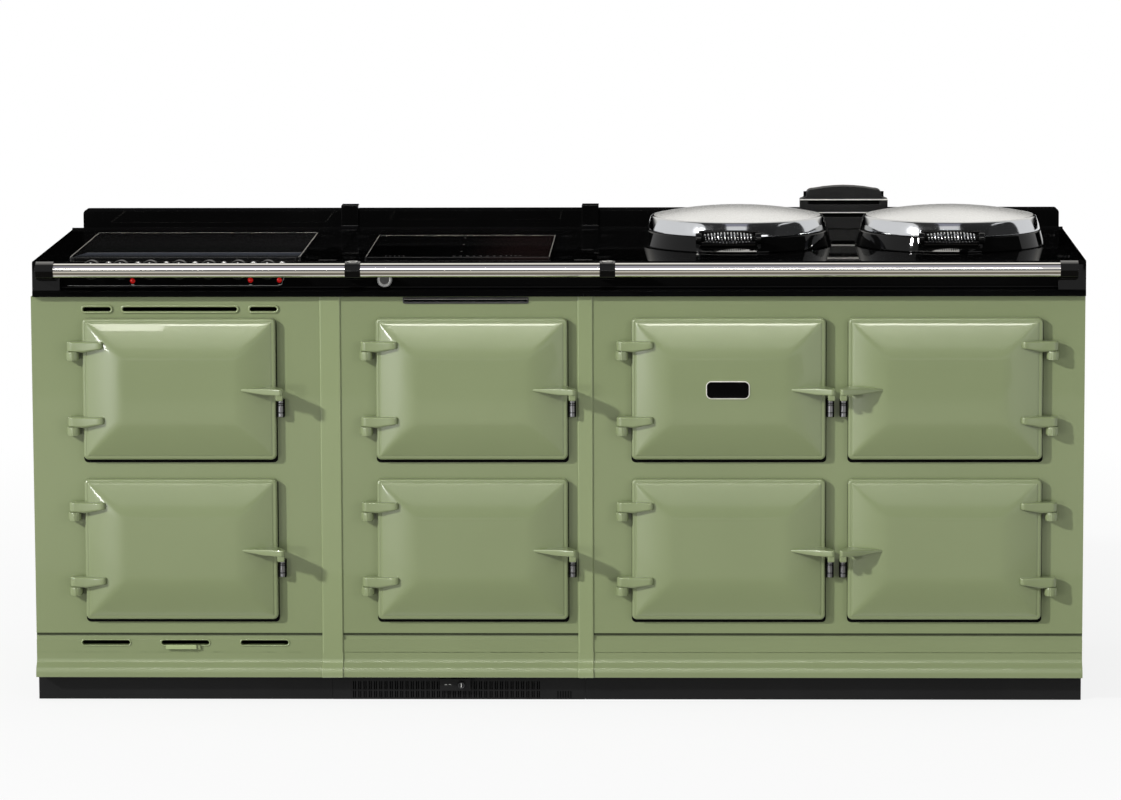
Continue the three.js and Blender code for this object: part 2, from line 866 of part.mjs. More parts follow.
// ---------------------------------------------------------------- top castings

// Outline of a top casting in (Y, Z), with or without the recess in its front.
function topSection(recessed) {
  const shape = new THREE.Shape();
  shape.moveTo(-lipDepth, bodyTop);
  shape.lineTo(-lipDepth, lipTop - 2);
  shape.lineTo(-lipDepth + 2, lipTop);
  if (recessed) {
    shape.lineTo(facing - recessFoot, lipTop);
    shape.absarc(facing - recessFoot, lipTop + recessFoot, recessFoot, -Math.PI / 2, 0);
    shape.lineTo(facing, facingTop - recessRadius);
    shape.absarc(facing - recessRadius, facingTop - recessRadius, recessRadius, 0, Math.PI / 2);
    shape.lineTo(-nosingDepth + 2, facingTop);
  }
  shape.lineTo(-nosingDepth, facingTop + 2);
  shape.lineTo(-nosingDepth, topHeight - 3);
  shape.lineTo(-nosingDepth + 3, topHeight);
  shape.lineTo(riserFront - riserBead, topHeight);
  shape.lineTo(riserFront, topHeight + riserBead);
  shape.lineTo(riserFront, topHeight);
  shape.lineTo(topRear, topHeight);
  shape.lineTo(topRear, bodyTop);
  return shape;
}

// The riser along the back, with its outer ends rounded.
function riser(x, ends) {
  const outline = roundedRectangle(
    [x[0] - (ends.left ? 0 : riserHeight), x[1] + (ends.right ? 0 : riserHeight)],
    [topHeight - riserHeight, riserTop],
    riserCorner,
  );
  const shape = polygon([
    [riserFront, topHeight - 1],
    [riserFront, riserTop - 4],
    [riserFront + 4, riserTop],
    [topRear - 4, riserTop],
    [topRear, riserTop - 4],
    [topRear, topHeight - 1],
  ]);
  const trim = alongY(outline, [riserFront - 1, topRear + 1], { curveSegments: 3 });
  return alongX(shape, x).intersect(trim);
}

function railArm(x, rear) {
  const under = facingTop - recessRadius - gap;
  const shape = new THREE.Shape();
  shape.moveTo(rear, railHeight - armFoot);
  shape.lineTo(rear, under);
  shape.lineTo(-nosingDepth - gap, under);
  shape.lineTo(-nosingDepth - gap, topHeight);
  shape.lineTo(-railOffset, railHeight + railBoss);
  shape.absarc(-railOffset, railHeight, railBoss, Math.PI / 2, 1.5 * Math.PI);
  return alongX(shape, x);
}

// Flat caps near the corners of a casting; the cooker's left end has none.
function capRow(x, ends) {
  const caps = [];
  for (const end of [x[0] + capInset, x[1] - capInset]) {
    if (ends.left && end < middleOf(x)) continue;
    for (const depth of capDepths) {
      caps.push(drum(end, depth, capRadius, [topHeight - 1, topHeight + capHeight], 12));
    }
  }
  return joined(caps);
}

function topCasting(name, x, ends, cutters) {
  const wall = topThickness;
  const recess = [x[0] + (ends.left ? recessEnd : 0), x[1] - (ends.right ? recessEnd : 0)];
  let body = alongX(topSection(true), recess);
  if (ends.left) body = body.add(alongX(topSection(false), [x[0], recess[0]]));
  if (ends.right) body = body.add(alongX(topSection(false), [recess[1], x[1]]));
  const hollow = block(
    [x[0] + wall, x[1] - wall],
    [facing + wall, topRear - wall],
    [bodyTop - 1, topHeight - wall],
  );
  const riserX = [
    x[0] + (ends.left ? riserEndInsets.left : 0),
    x[1] - (ends.right ? riserEndInsets.right : 0),
  ];
  body = cut(body, [hollow]).add(riser(riserX, ends)).add(capRow(x, ends));
  for (const side of ['left', 'right']) {
    if (!ends[side]) continue;
    const sign = side === 'left' ? -1 : 1;
    const outer = sign * (halfWidth - railEndInset);
    const inner = outer - sign * (recessEnd - railEndInset);
    const arm = railArm([Math.min(outer, inner), Math.max(outer, inner)], 0);
    const bore = rod(
      [inner - sign * 1, -railOffset, railHeight],
      [inner + sign * socketLap, -railOffset, railHeight],
      railRadius + gap,
    );
    body = body.add(arm).subtract(bore);
  }
  add(name, surface(cut(body, cutters)), blackEnamel);
}

function hobWell(hob) {
  return block(
    around(hob.centre, hob.width - 2 * hobLedge + 2 * gap),
    [hob.front + hobLedge - gap, hob.rear - hobLedge + gap],
    [topHeight - 2 * topThickness, topHeight + 1],
  );
}

function lidStand(centre) {
  const axis = topHeight + lidHingeHeight;
  const parts = [];
  for (const side of [-1, 1]) {
    const near = centre + side * (lidKnuckleWidth / 2 + gap);
    const far = near + side * lidLugWidth;
    const plan = new THREE.Shape();
    plan.moveTo(lidHingeDepth - lidKnuckleRadius, topHeight - 1);
    plan.lineTo(lidHingeDepth - lidKnuckleRadius, axis);
    plan.absarc(lidHingeDepth, axis, lidKnuckleRadius, Math.PI, 0, true);
    plan.lineTo(lidHingeDepth + lidKnuckleRadius, topHeight - 1);
    parts.push(alongX(plan, [Math.min(near, far), Math.max(near, far)]));
  }
  const reach = lidKnuckleWidth / 2 + lidLugWidth;
  parts.push(rod(
    [centre - reach, lidHingeDepth, axis],
    [centre + reach, lidHingeDepth, axis],
    lidPinRadius,
    16,
  ));
  return joined(parts);
}

function topStrip(centre) {
  const under = topHeight + gap;
  const over = under + topStripThickness;
  const face = riserFront - gap;
  const cap = riserTop + gap;
  const section = polygon([
    [-nosingDepth + 3, under],
    [face - riserBead, under],
    [face, under + riserBead],
    [face, cap],
    [topRear, cap],
    [topRear, riserTop + riserCapRise],
    [face - topStripThickness, riserTop + riserCapRise],
    [face - topStripThickness, over + riserBead],
    [face - topStripThickness - riserBead, over],
    [-nosingDepth + 3, over],
  ]);
  return alongX(section, around(centre, topStripWidth));
}

function buildTops() {
  const half = gap / 2;
  const buttonHole = rod(
    [buttonCentre, 0, buttonHeight],
    [buttonCentre, facing + 2 * topThickness, buttonHeight],
    buttonStemRadius + gap,
    16,
  );
  const shaftHoles = knobCentres.map((x) => rod(
    [x, 0, knobHeight],
    [x, facing + 2 * topThickness, knobHeight],
    knobCollar + gap,
    shaftSides,
  ));
  const wells = lidCentres.map((x) => drum(
    x,
    lidDepth,
    hotplateRadius + 2 * gap,
    [topHeight - 2 * topThickness, topHeight + 1],
    plateSides,
  ));
  topCasting(
    'top_casting_left',
    [modules.left[0] + topEndInset, modules.left[1] - half],
    { left: true },
    [hobWell(hobs[0]), ...shaftHoles],
  );
  topCasting(
    'top_casting_middle',
    [modules.middle[0] + half, modules.middle[1] - half],
    {},
    [hobWell(hobs[1]), buttonHole],
  );
  topCasting(
    'top_casting_right',
    [modules.right[0] + half, modules.right[1]],
    { right: true },
    wells,
  );
  add('top_strip_left', surface(topStrip(joints[0])), blackEnamel);
  add('top_strip_right', surface(topStrip(joints[1])), blackEnamel);
}

// ---------------------------------------------------------------- handrails

function buildRails() {
  const socket = halfWidth - railEndInset - (recessEnd - railEndInset) + socketLap - gap;
  const meeting = bracketCentres[1];
  const rail = (x) => rod([x[0], -railOffset, railHeight], [x[1], -railOffset, railHeight], railRadius);
  add('handrail_left', surface(rail([-socket, meeting - gap / 2])), polishedSteel);
  add('handrail_right', surface(rail([meeting + gap / 2, socket])), polishedSteel);
  bracketCentres.forEach((centre, i) => {
    const bore = rod(
      [centre - bracketWidth, -railOffset, railHeight],
      [centre + bracketWidth, -railOffset, railHeight],
      railRadius + gap,
    );
    const bracket = railArm(around(centre, bracketWidth), facing - gap).subtract(bore);
    add(`rail_bracket_${i + 1}`, surface(bracket), blackEnamel);
  });
}

// ---------------------------------------------------------------- hobs and controls

function buildHobs() {
  for (const hob of hobs) {
    const inset = glassBevel;
    const shape = roundedRectangle(
      [hob.centre - hob.width / 2 + inset, hob.centre + hob.width / 2 - inset],
      [hob.front + inset, hob.rear - inset],
      4,
    );
    const glass = extrude(shape, glassThickness - inset, {
      bevelEnabled: true,
      bevelThickness: inset,
      bevelSize: inset,
      bevelSegments: 1,
      curveSegments: 3,
    });
    glass.translate(0, 0, topHeight + gap);
    const low = topHeight + gap;
    const flat = solid(glass).intersect(block(
      around(hob.centre, 2 * hob.width),
      [hob.front - 10, hob.rear + 10],
      [low, low + 2 * glassThickness],
    ));
    const tray = block(
      around(hob.centre, hob.width - 2 * hobLedge),
      [hob.front + hobLedge, hob.rear - hobLedge],
      [topHeight - hobTrayDepth, low + 1],
    );
    add(hob.name, surface(flat.add(tray)), darkGlass);
  }
}

function knob(x) {
  const profile = [
    [0, 0],
    [knobRadius - 2, 0],
    [knobRadius, 2],
    [knobRadius - 1, knobDepth - 2],
    [knobRadius - 3, knobDepth],
    [0, knobDepth],
  ];
  const body = lathe(profile, 16);
  body.rotateX(Math.PI / 2);
  body.translate(x, -knobFront + knobDepth, knobHeight);
  const shaft = rod(
    [x, -knobFront + knobDepth - 1, knobHeight],
    [x, facing + topThickness, knobHeight],
    knobCollar,
    shaftSides,
  );
  const pointer = block(
    around(x, 4),
    [-knobFront - 2, -knobFront + 1],
    [knobHeight, knobHeight + knobRadius - 3],
  );
  return joined([solid(body), shaft, pointer]);
}

function buildControls() {
  const panel = polygon([
    [panelLeft + panelSlant / 2, panelBottom],
    [panelRight - panelSlant, panelBottom],
    [panelRight, panelTop - 8],
    [panelRight, panelTop],
    [panelLeft, panelTop],
    [panelLeft, panelBottom + 12],
  ]);
  const holes = knobCentres.map((x) => rod(
    [x, 0, knobHeight],
    [x, facing + 1, knobHeight],
    knobCollar + gap,
    shaftSides,
  ));
  const plate = alongY(panel, [facing - gap - panelPlate, facing - gap]);
  const relief = block(
    [panelLeft - 1, panelRight + 1],
    [0, facing + 1],
    [facingTop - recessRadius, facingTop],
  );
  add('control_panel', surface(cut(plate, [relief, ...holes])), blackEnamel);
  knobCentres.forEach((x, i) => add(`control_knob_${i + 1}`, surface(knob(x)), blackPlastic));

  const cap = lathe([
    [0, 0],
    [buttonRadius, 0],
    [buttonRadius, buttonRise - 3],
    [buttonRadius - 3, buttonRise],
    [0, buttonRise],
  ], 20);
  cap.rotateX(Math.PI / 2);
  cap.translate(buttonCentre, facing - buttonTravel - gap, buttonHeight);
  const stem = rod(
    [buttonCentre, facing - buttonTravel - 1, buttonHeight],
    [buttonCentre, facing + topThickness, buttonHeight],
    buttonStemRadius,
    16,
  );
  add('start_button', surface(solid(cap).add(stem)), polishedSteel);
}

// ---------------------------------------------------------------- hotplates and lids

function hotplate(x) {
  const top = topHeight + hotplateFlangeHeight;
  const disc = lathe([
    [0, topHeight - hotplateBelow],
    [hotplateRadius - 10, topHeight - hotplateBelow],
    [hotplateRadius, topHeight - hotplateBelow + 10],
    [hotplateRadius, topHeight + gap],
    [hotplateFlange, topHeight + gap],
    [hotplateFlange, top - 2],
    [hotplateFlange - 2, top],
    [0, top],
  ], plateSides);
  disc.translate(x, lidDepth, 0);
  return solid(disc);
}

function lidLiner(x) {
  const low = topHeight + gap;
  const high = low + linerHeight;
  const axis = topHeight + lidHingeHeight;
  const ring = lathe([
    [0, high - linerCeiling],
    [linerRadius - linerRim, high - linerCeiling],
    [linerRadius - linerRim, low],
    [linerRadius - linerEdge, low],
    [linerRadius, low + linerEdge],
    [linerTopRadius, high - linerEdge],
    [linerTopRadius - linerEdge, high],
    [0, high],
  ], linerSides);
  ring.translate(x, lidDepth, 0);
  const shape = new THREE.Shape();
  const ringInside = lidDepth + linerRadius - linerRim;
  shape.moveTo(ringInside, axis - 8);
  shape.lineTo(lidHingeDepth, axis - lidKnuckleRadius);
  shape.absarc(lidHingeDepth, axis, lidKnuckleRadius, -Math.PI / 2, Math.PI / 2);
  shape.lineTo(ringInside, axis + 8);
  const knuckle = alongX(shape, around(x, lidKnuckleWidth));
  const reach = lidKnuckleWidth;
  const bore = rod(
    [x - reach, lidHingeDepth, axis],
    [x + reach, lidHingeDepth, axis],
    lidPinRadius + gap,
    16,
  );
  return solid(ring).add(knuckle).subtract(bore);
}

function lidCover(x) {
  const low = topHeight + linerHeight + 2 * gap;
  const band = low + coverBandHeight;
  const crown = band + coverCrown;
  const wall = coverWall;
  const shell = lathe([
    [coverRadius - wall, low],
    [coverRadius, low],
    [coverRadius - 2, low + 8],
    [coverRadius - 6, low + 17],
    [coverRadius - 14, band - 4],
    [coverBreakRadius, band],
    ...coverCrownProfile.map(([reach, rise]) => [coverBreakRadius * reach, band + coverCrown * rise]),
    [0.001, crown],
    [0.001, crown - wall],
    [coverBreakRadius - 1, band - wall],
    [coverRadius - 6 - 2 * wall, low + 15],
    [coverRadius - wall, low],
  ], plateSides);
  shell.translate(x, lidDepth, 0);
  return shell;
}

// A close-wound barrel spring: a rod whose radius rises and falls along a helix.
function coilGrip(x) {
  const sides = 8;
  const rowsPerTurn = 4;
  const grip = new THREE.CylinderGeometry(coilRadius, coilRadius, coilLength, sides, coilTurns * rowsPerTurn);
  const position = grip.attributes.position;
  for (let i = 0; i < position.count; i += 1) {
    const [u, v, w] = [position.getX(i), position.getY(i), position.getZ(i)];
    const reach = Math.hypot(u, w);
    if (reach < 1e-6) continue;
    const along = (2 * v) / coilLength;
    const phase = Math.atan2(w, u) + Math.PI * coilTurns * along;
    const barrel = coilRadius - (coilRadius - coilEndRadius) * along * along;
    const radius = barrel - coilWire / 2 + (coilWire / 2) * Math.cos(phase);
    position.setXYZ(i, (u / reach) * radius, v, (w / reach) * radius);
  }
  grip.rotateZ(Math.PI / 2);
  grip.translate(x, handleDepth, handleHeight);
  return solid(grip);
}

function lidHandle(lid, x) {
  const low = topHeight + gap;
  const high = low + linerHeight;
  const parts = [coilGrip(x)];
  const reach = handlePostSpan / 2 + handlePostWidth / 2;
  parts.push(rod(
    [x - reach + 1, handleDepth, handleHeight],
    [x + reach - 1, handleDepth, handleHeight],
    handleRod,
    12,
  ));
  for (const side of [-1, 1]) {
    const shape = new THREE.Shape();
    shape.moveTo(handleDepth, handleHeight - handlePostRadius);
    shape.lineTo(lidDepth - coverRadius + 30, topHeight + 9);
    shape.lineTo(lidDepth - coverRadius + 30, topHeight + 25);
    shape.lineTo(handleDepth, handleHeight + handlePostRadius);
    shape.absarc(handleDepth, handleHeight, handlePostRadius, Math.PI / 2, 1.5 * Math.PI);
    parts.push(alongX(shape, around(x + side * handlePostSpan / 2, handlePostWidth)));
  }
  const ring = lathe([
    [0, low - handlePostRadius],
    [linerRadius + gap, low - handlePostRadius],
    [linerRadius + gap, low + linerEdge],
    [linerTopRadius + gap, high - linerEdge],
    [linerTopRadius + gap, high + linerHeight],
    [0, high + linerHeight],
  ], linerSides);
  ring.translate(lid, lidDepth, 0);
  return joined(parts).subtract(solid(ring));
}

function buildLids() {
  lidCentres.forEach((x, i) => {
    const name = i === 0 ? 'left' : 'right';
    add(`hotplate_${name}`, surface(hotplate(x)), castIron);
    add(`lid_liner_${name}`, surface(lidLiner(x)), blackEnamel);
    add(`lid_cover_${name}`, surface(solid(lidCover(x))), brushedSteel);
    add(`lid_handle_${name}`, surface(lidHandle(x, x + handleOffsets[i])), polishedSteel);
  });
}

// ---------------------------------------------------------------- vent cowl

function buildCowl() {
  const base = topHeight + gap;
  const top = topHeight + cowlHeight;
  const shoulder = topHeight + cowlShoulder;
  const outline = (inset) => {
    const half = cowlWidth / 2 - inset;
    const capHalf = cowlCapWidth / 2 - inset;
    const shape = new THREE.Shape();
    shape.moveTo(cowlCentre - half, base - (inset ? 1 : 0));
    shape.lineTo(cowlCentre + half, base - (inset ? 1 : 0));
    shape.lineTo(cowlCentre + half, shoulder - inset);
    shape.lineTo(cowlCentre + capHalf, shoulder + 6 - inset);
    const [width, drop] = cowlCorner;
    const edge = top - drop - inset;
    shape.lineTo(cowlCentre + capHalf, edge - 2 * drop);
    shape.quadraticCurveTo(cowlCentre + capHalf, edge, cowlCentre + capHalf - width, edge);
    shape.quadraticCurveTo(cowlCentre, edge + 2 * drop, cowlCentre - capHalf + width, edge);
    shape.quadraticCurveTo(cowlCentre - capHalf, edge, cowlCentre - capHalf, edge - 2 * drop);
    shape.lineTo(cowlCentre - capHalf, shoulder + 6 - inset);
    shape.lineTo(cowlCentre - half, shoulder - inset);
    return shape;
  };
  const smooth = { curveSegments: 6 };
  const body = alongY(outline(0), [cowlFront, topRear], smooth);
  const hollow = alongY(outline(cowlWall), [cowlFront + cowlWall, topRear + 1], smooth);
  const saddle = block(
    around(cowlCentre, cowlWidth + 2),
    [riserFront - gap, topRear + 1],
    [topHeight - 1, riserTop + gap],
  );
  const bead = block(
    around(cowlCentre, cowlWidth + 2),
    [riserFront - riserBead - gap, topRear],
    [topHeight - 1, topHeight + riserBead + gap],
  );
  const slots = louvreHeights.map((height) => block(
    around(cowlCentre, louvreWidth),
    [cowlFront - 1, cowlFront + 2 * cowlWall],
    around(topHeight + height, louvreSlot),
  ));
  add('vent_cowl', surface(cut(body, [hollow, saddle, bead, ...slots])), blackEnamel);
}

buildPlinths();
buildFront();
buildCarcass();
buildDoors();
buildTops();
buildRails();
buildHobs();
buildControls();
buildLids();
buildCowl();

export default cooker;
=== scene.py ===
"""Cast iron range cooker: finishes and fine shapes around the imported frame.

Metres, +Z up, the doors face -Y. Places come from the frame's own boxes; what the solids
don't have is placed by the named values below. Turned profiles are in millimetres.
"""

import json
import math

import bmesh
import bpy
from mathutils import Matrix, Vector


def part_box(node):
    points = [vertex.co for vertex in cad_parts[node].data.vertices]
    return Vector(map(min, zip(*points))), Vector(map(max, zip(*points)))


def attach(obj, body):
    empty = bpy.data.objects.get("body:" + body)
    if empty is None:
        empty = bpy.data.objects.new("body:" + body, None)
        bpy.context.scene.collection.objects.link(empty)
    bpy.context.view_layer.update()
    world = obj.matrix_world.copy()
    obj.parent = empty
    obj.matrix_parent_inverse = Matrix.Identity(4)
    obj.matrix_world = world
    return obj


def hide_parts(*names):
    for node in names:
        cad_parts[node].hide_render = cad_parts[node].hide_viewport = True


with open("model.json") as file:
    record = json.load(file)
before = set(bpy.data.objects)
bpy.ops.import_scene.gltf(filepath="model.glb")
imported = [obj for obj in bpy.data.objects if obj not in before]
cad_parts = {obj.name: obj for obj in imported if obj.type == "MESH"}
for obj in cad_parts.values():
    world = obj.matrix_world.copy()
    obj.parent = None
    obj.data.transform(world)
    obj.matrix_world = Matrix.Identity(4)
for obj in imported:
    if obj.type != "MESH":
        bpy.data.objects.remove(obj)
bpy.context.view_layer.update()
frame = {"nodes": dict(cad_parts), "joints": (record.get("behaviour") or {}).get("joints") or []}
NODES = frame["nodes"]
MM = 0.001

# ------------------------------------------------------------------ places from the frame

BODY_DEPTH = 0.666
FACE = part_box("rear_carcass")[1].y - BODY_DEPTH   # plane of the green front plates
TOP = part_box("hob_left")[0].z + 32 * MM            # cooking surface
DOOR_SEAT = 2 * MM
DOOR_RIM = 15 * MM
DOOR_CROWN = 17 * MM
DOOR_STEP = 1.5 * MM
DOOR_SLOPE = 72 * MM                      # width of the slope inside the door's rim
DOOR_CORNER = 10.4 * MM
RIM_PLANE = FACE - DOOR_SEAT - DOOR_RIM
LUG_DROPS = (56.5 * MM, 208 * MM)         # hinge lugs below the door's upper edge
PIN_OUTSET = 19 * MM                      # hinge pin outside the door's edge
FIN_OUTSET = 18 * MM                      # handle fin outside the other edge
MIDDLE_VENT = (-304.5, -58, 808, 817)     # x and z ranges in millimetres
VENT_SLOTS = ((-946.1, -889.7), (-866.4, -637.5), (-612.1, -557.8))
VENT_HEIGHTS = (790.5, 799.5)
BASE_SLOTS = (-909.5, -749.75, -590)
PLAIN_PLATE = (297, 384, 618, 654)
LAMPS = ((-847.1, 850.1), (-611.1, 851.5), (-553.3, 851.4))
DISCS = (-891.7, -833.3, -776.1, -718.9, -661.2, -602.7, -545.4)
DISC_HEIGHT = 0.8845
GRILLE_START, GRILLE_PITCH, GRILLE_COUNT = -417.0, 10.6, 36
GRILLE_ROWS = ((3, 17), (20, 37))
COLUMNS = ("left", "middle", "right_inner", "right_outer")
ROWS = ("top", "bottom")
MODULES = ("left", "middle", "right")
WELD_DISTANCE = 0.000004
FLAT_ANGLE = math.radians(0.6)            # faces closer than this in direction are one
SIDES = ("left", "right")


# ------------------------------------------------------------------ node helpers

def tone(colour):
    """A colour with full opacity; a single number is a grey."""
    if isinstance(colour, float):
        colour = (colour, colour, colour)
    return (*colour, 1.0)


def fill(node, inputs):
    for key, value in inputs.items():
        node.inputs[key.replace("_", " ")].default_value = value


class Graph:
    """A node tree with short calls for adding and wiring nodes."""

    def __init__(self, owner, clear=False):
        owner.use_nodes = True
        self.owner = owner
        self.tree = owner.node_tree
        if clear:
            self.tree.nodes.clear()

    def node(self, kind, operation=None, **inputs):
        made = self.tree.nodes.new("ShaderNode" + kind)
        if operation:
            made.operation = operation
        fill(made, inputs)
        return made

    def wire(self, source, target):
        self.tree.links.new(source, target)

    def coordinates(self, space="Object"):
        return self.node("TexCoord").outputs[space]

    def axes(self, space="Object"):
        """The three coordinates of one of the object's spaces."""
        parts = self.node("SeparateXYZ")
        self.wire(self.coordinates(space), parts.inputs["Vector"])
        return parts.outputs

    def noise(self, scale, detail, stretch=None):
        out = self.coordinates()
        if stretch:
            mapping = self.node("Mapping", Scale=stretch)
            self.wire(out, mapping.inputs["Vector"])
            out = mapping.outputs["Vector"]
        made = self.node("TexNoise", Scale=scale, Detail=detail)
        self.wire(out, made.inputs["Vector"])
        return made.outputs["Fac"]

    def ramp(self, source, stops):
        made = self.node("ValToRGB")
        elements = made.color_ramp.elements
        while len(elements) < len(stops):
            elements.new(0.5)
        for element, (place, colour) in zip(elements, stops):
            element.position = place
            element.color = tone(colour)
        self.wire(source, made.inputs["Fac"])
        return made.outputs["Color"]

    def maths(self, operation, first, second):
        """A sum of two outputs or numbers."""
        made = self.node("Math", operation)
        for socket, value in zip(made.inputs, (first, second)):
            if isinstance(value, float):
                socket.default_value = value
            else:
                self.wire(value, socket)
        return made.outputs[0]

    def mix(self, share, first, second):
        """The first shader where the share is 0, the second where it is 1."""
        made = self.node("MixShader")
        for source, socket in zip((share, first.outputs[0], second.outputs[0]), made.inputs):
            self.wire(source, socket)
        return made

    def show(self, shader, kind="OutputMaterial"):
        self.wire(shader.outputs[0], self.node(kind).inputs["Surface"])


class Finish(Graph):
    """A material on the principled shader, whose inputs drift with noises."""

    def __init__(self, name, **inputs):
        super().__init__(bpy.data.materials.new(name))
        self.shader = self.tree.nodes["Principled BSDF"]
        fill(self.shader, inputs)

    def drive(self, target, source):
        self.wire(source, self.shader.inputs[target])

    def drift(self, target, low, high, scale, detail, stretch=None, places=(0.3, 0.7)):
        stops = list(zip(places, (low, high)))
        self.drive(target, self.ramp(self.noise(scale, detail, stretch), stops))

    def bump(self, strength, distance, scale, detail, stretch=None):
        made = self.node("Bump", Strength=strength, Distance=distance)
        self.wire(self.noise(scale, detail, stretch), made.inputs["Height"])
        self.drive("Normal", made.outputs["Normal"])


def enamel_green(name="green enamel", lift=1.0):
    finish = Finish(name, Roughness=0.3, Coat_Weight=0.5, Coat_Roughness=0.03)
    # A lift above 1 gives a lighter copy of the same enamel, used as painted highlight.
    low, high = (
        tuple(lift * part for part in colour) for colour in ((0.198, 0.238, 0.116), (0.212, 0.254, 0.125))
    )
    finish.drift("Base Color", low, high, 3.0, 3.0)
    return finish.owner


def enamel_black():
    finish = Finish("black enamel", Roughness=0.03, Specular_IOR_Level=0.18)
    finish.drift("Base Color", 0.0016, 0.0028, 4.0, 2.0)
    return finish.owner


def plinth_paint():
    finish = Finish("plinth paint", Specular_IOR_Level=0.15)
    finish.drift("Base Color", 0.006, 0.009, 6.0, 3.0)
    finish.drift("Roughness", 0.34, 0.46, 30.0, 3.0)
    finish.bump(0.08, 0.0002, 900.0, 2.0)
    return finish.owner


def cast_iron():
    finish = Finish("bare cast iron", Metallic=0.7)
    finish.drift("Base Color", 0.05, (0.10, 0.092, 0.085), 14.0, 5.0)
    finish.drift("Roughness", 0.45, 0.65, 40.0, 4.0)
    finish.bump(0.25, 0.0006, 700.0, 3.0)
    return finish.owner


def polished_nickel():
    finish = Finish("polished nickel", Metallic=1.0, Base_Color=tone((0.80, 0.775, 0.74)))
    finish.drift("Roughness", 0.008, 0.012, 50.0, 2.0, (1.0, 12.0, 12.0), (0.35, 0.75))
    return finish.owner


def satin_steel():
    finish = Finish("satin steel", Metallic=1.0)
    finish.drift("Base Color", (0.78, 0.785, 0.79), (0.84, 0.845, 0.85), 9.0, 3.0)
    finish.drift("Roughness", 0.24, 0.33, 120.0, 3.0, (1.0, 9.0, 1.0))
    finish.bump(0.04, 0.0001, 1600.0, 1.0, (0.06, 1.0, 1.0))
    return finish.owner


def bright_steel():
    finish = Finish("bright steel band", Metallic=1.0, Base_Color=tone((0.56, 0.57, 0.585)))
    finish.drift("Roughness", 0.06, 0.12, 80.0, 2.0)
    return finish.owner


def zinc_sheet():
    finish = Finish("zinc coated sheet", Metallic=1.0)
    cells = finish.node("TexVoronoi", Scale=45.0)
    finish.wire(finish.coordinates(), cells.inputs["Vector"])
    for target, high in (("Base Color", 0.50), ("Roughness", 0.52)):
        finish.drive(target, finish.ramp(cells.outputs["Color"], [(0.0, 0.36), (1.0, high)]))
    return finish.owner


def black_glass(name, stops, axis="X", roughness=0.03, level=0.3):
    """Dark glass whose tint drifts along one axis of the object."""
    finish = Finish(name, Roughness=roughness, Specular_IOR_Level=level)
    finish.drive("Base Color", finish.ramp(finish.axes("Generated")[axis], stops))
    return finish.owner


def plain(name, colour, roughness, metallic=0.0, level=0.5):
    """A material whose colour drifts a little about one tone."""
    finish = Finish(name, Roughness=roughness, Metallic=metallic, Specular_IOR_Level=level)
    variation = 0.12
    low, high = (tuple(c * share for c in colour) for share in (1.0 - variation, 1.0 + variation))
    finish.drift("Base Color", low, high, 40.0, 3.0)
    return finish.owner


def lamp_red():
    finish = Finish(
        "red lamp lens", Roughness=0.2, Specular_IOR_Level=0.3,
        Emission_Color=tone((1.0, 0.02, 0.01)), Emission_Strength=0.12,
    )
    finish.drift("Base Color", (0.5, 0.004, 0.004), (0.62, 0.008, 0.006), 300.0, 2.0)
    return finish.owner


GREEN = enamel_green()
BLACK = enamel_black()
PLINTH = plinth_paint()
IRON = cast_iron()
NICKEL = polished_nickel()
SATIN = satin_steel()
BRIGHT = bright_steel()
ZINC = zinc_sheet()
# Middle hob glass: near black, turning brown towards its right end as a painted reflection.
GLASS = black_glass("black glass with painted reflection", [(0.2, 0.0015), (0.55, 0.003), (0.8, (0.014, 0.0085, 0.008))])
SATIN_GLASS = black_glass("satin glass", [(0.0, 0.005), (1.0, 0.009)], roughness=0.08)
# Left hob's front strip: its tint grows paler and bluer across its depth, a painted reflection.
CONTROL_STRIP_PAINTED_REFLECTION = black_glass("hob front strip with painted reflection", [(0.0, 0.01), (1.0, (0.09, 0.1, 0.125))], "Y", 0.1, 0.4)
COWL = plain("dull black enamel", (0.006, 0.006, 0.006), 0.35, level=0.25)
DIM_CHROME = plain("dim chrome", (0.16, 0.16, 0.165), 0.22, 1.0)
TRIM = plain("grey anodised trim", (0.07, 0.07, 0.073), 0.32, 0.8)
KNOB = plain("knob black", (0.006, 0.006, 0.0065), 0.16, level=0.15)
# Dark rubber for the real black parts; the same material also draws painted shade: the strips behind the doors,
# the sheet behind the plinth grille, the short plinth slots and the sheet inside the vent cowl.
DARK = plain("dark rubber and painted shade", (0.002, 0.002, 0.002), 0.6, level=0.05)
# Printed marks; the same material also draws the painted highlight line along the control panel's edge.
MARK = plain("printed mark", (0.5, 0.5, 0.48), 0.5)
FAINT = plain("faint printed mark", (0.12, 0.12, 0.12), 0.4)
LIGHT_TRIM = plain("light trim", (0.62, 0.61, 0.58), 0.25, 1.0)
# Pale lines that stand for highlights on edges: painted highlight on the plain plate's rim, the cowl's louvre
# lips and the rail brackets' caps.
EDGE_PAINTED_HIGHLIGHT = plain("pale edge painted highlight", (0.8, 0.78, 0.72), 0.3, 0.3)
BUTTON = plain("button face", (0.1, 0.1, 0.1), 0.3, 0.3)
BUTTON_RING = plain("button ring", (0.75, 0.75, 0.74), 0.25, 0.5)
ROLLER = plain("ribbed roller steel", (0.24, 0.24, 0.25), 0.3, 0.9)
# Lighter copy of the green enamel: painted highlight on the proud joint strips and the beads round the slots.
GREEN_PAINTED_LIGHTER = enamel_green("joint strip enamel painted lighter", 1.14)
# Much lighter copy of the green enamel: painted highlight on the pull tab.
TAB_GREEN_PAINTED_LIGHT = enamel_green("tab enamel painted lighter", 1.6)
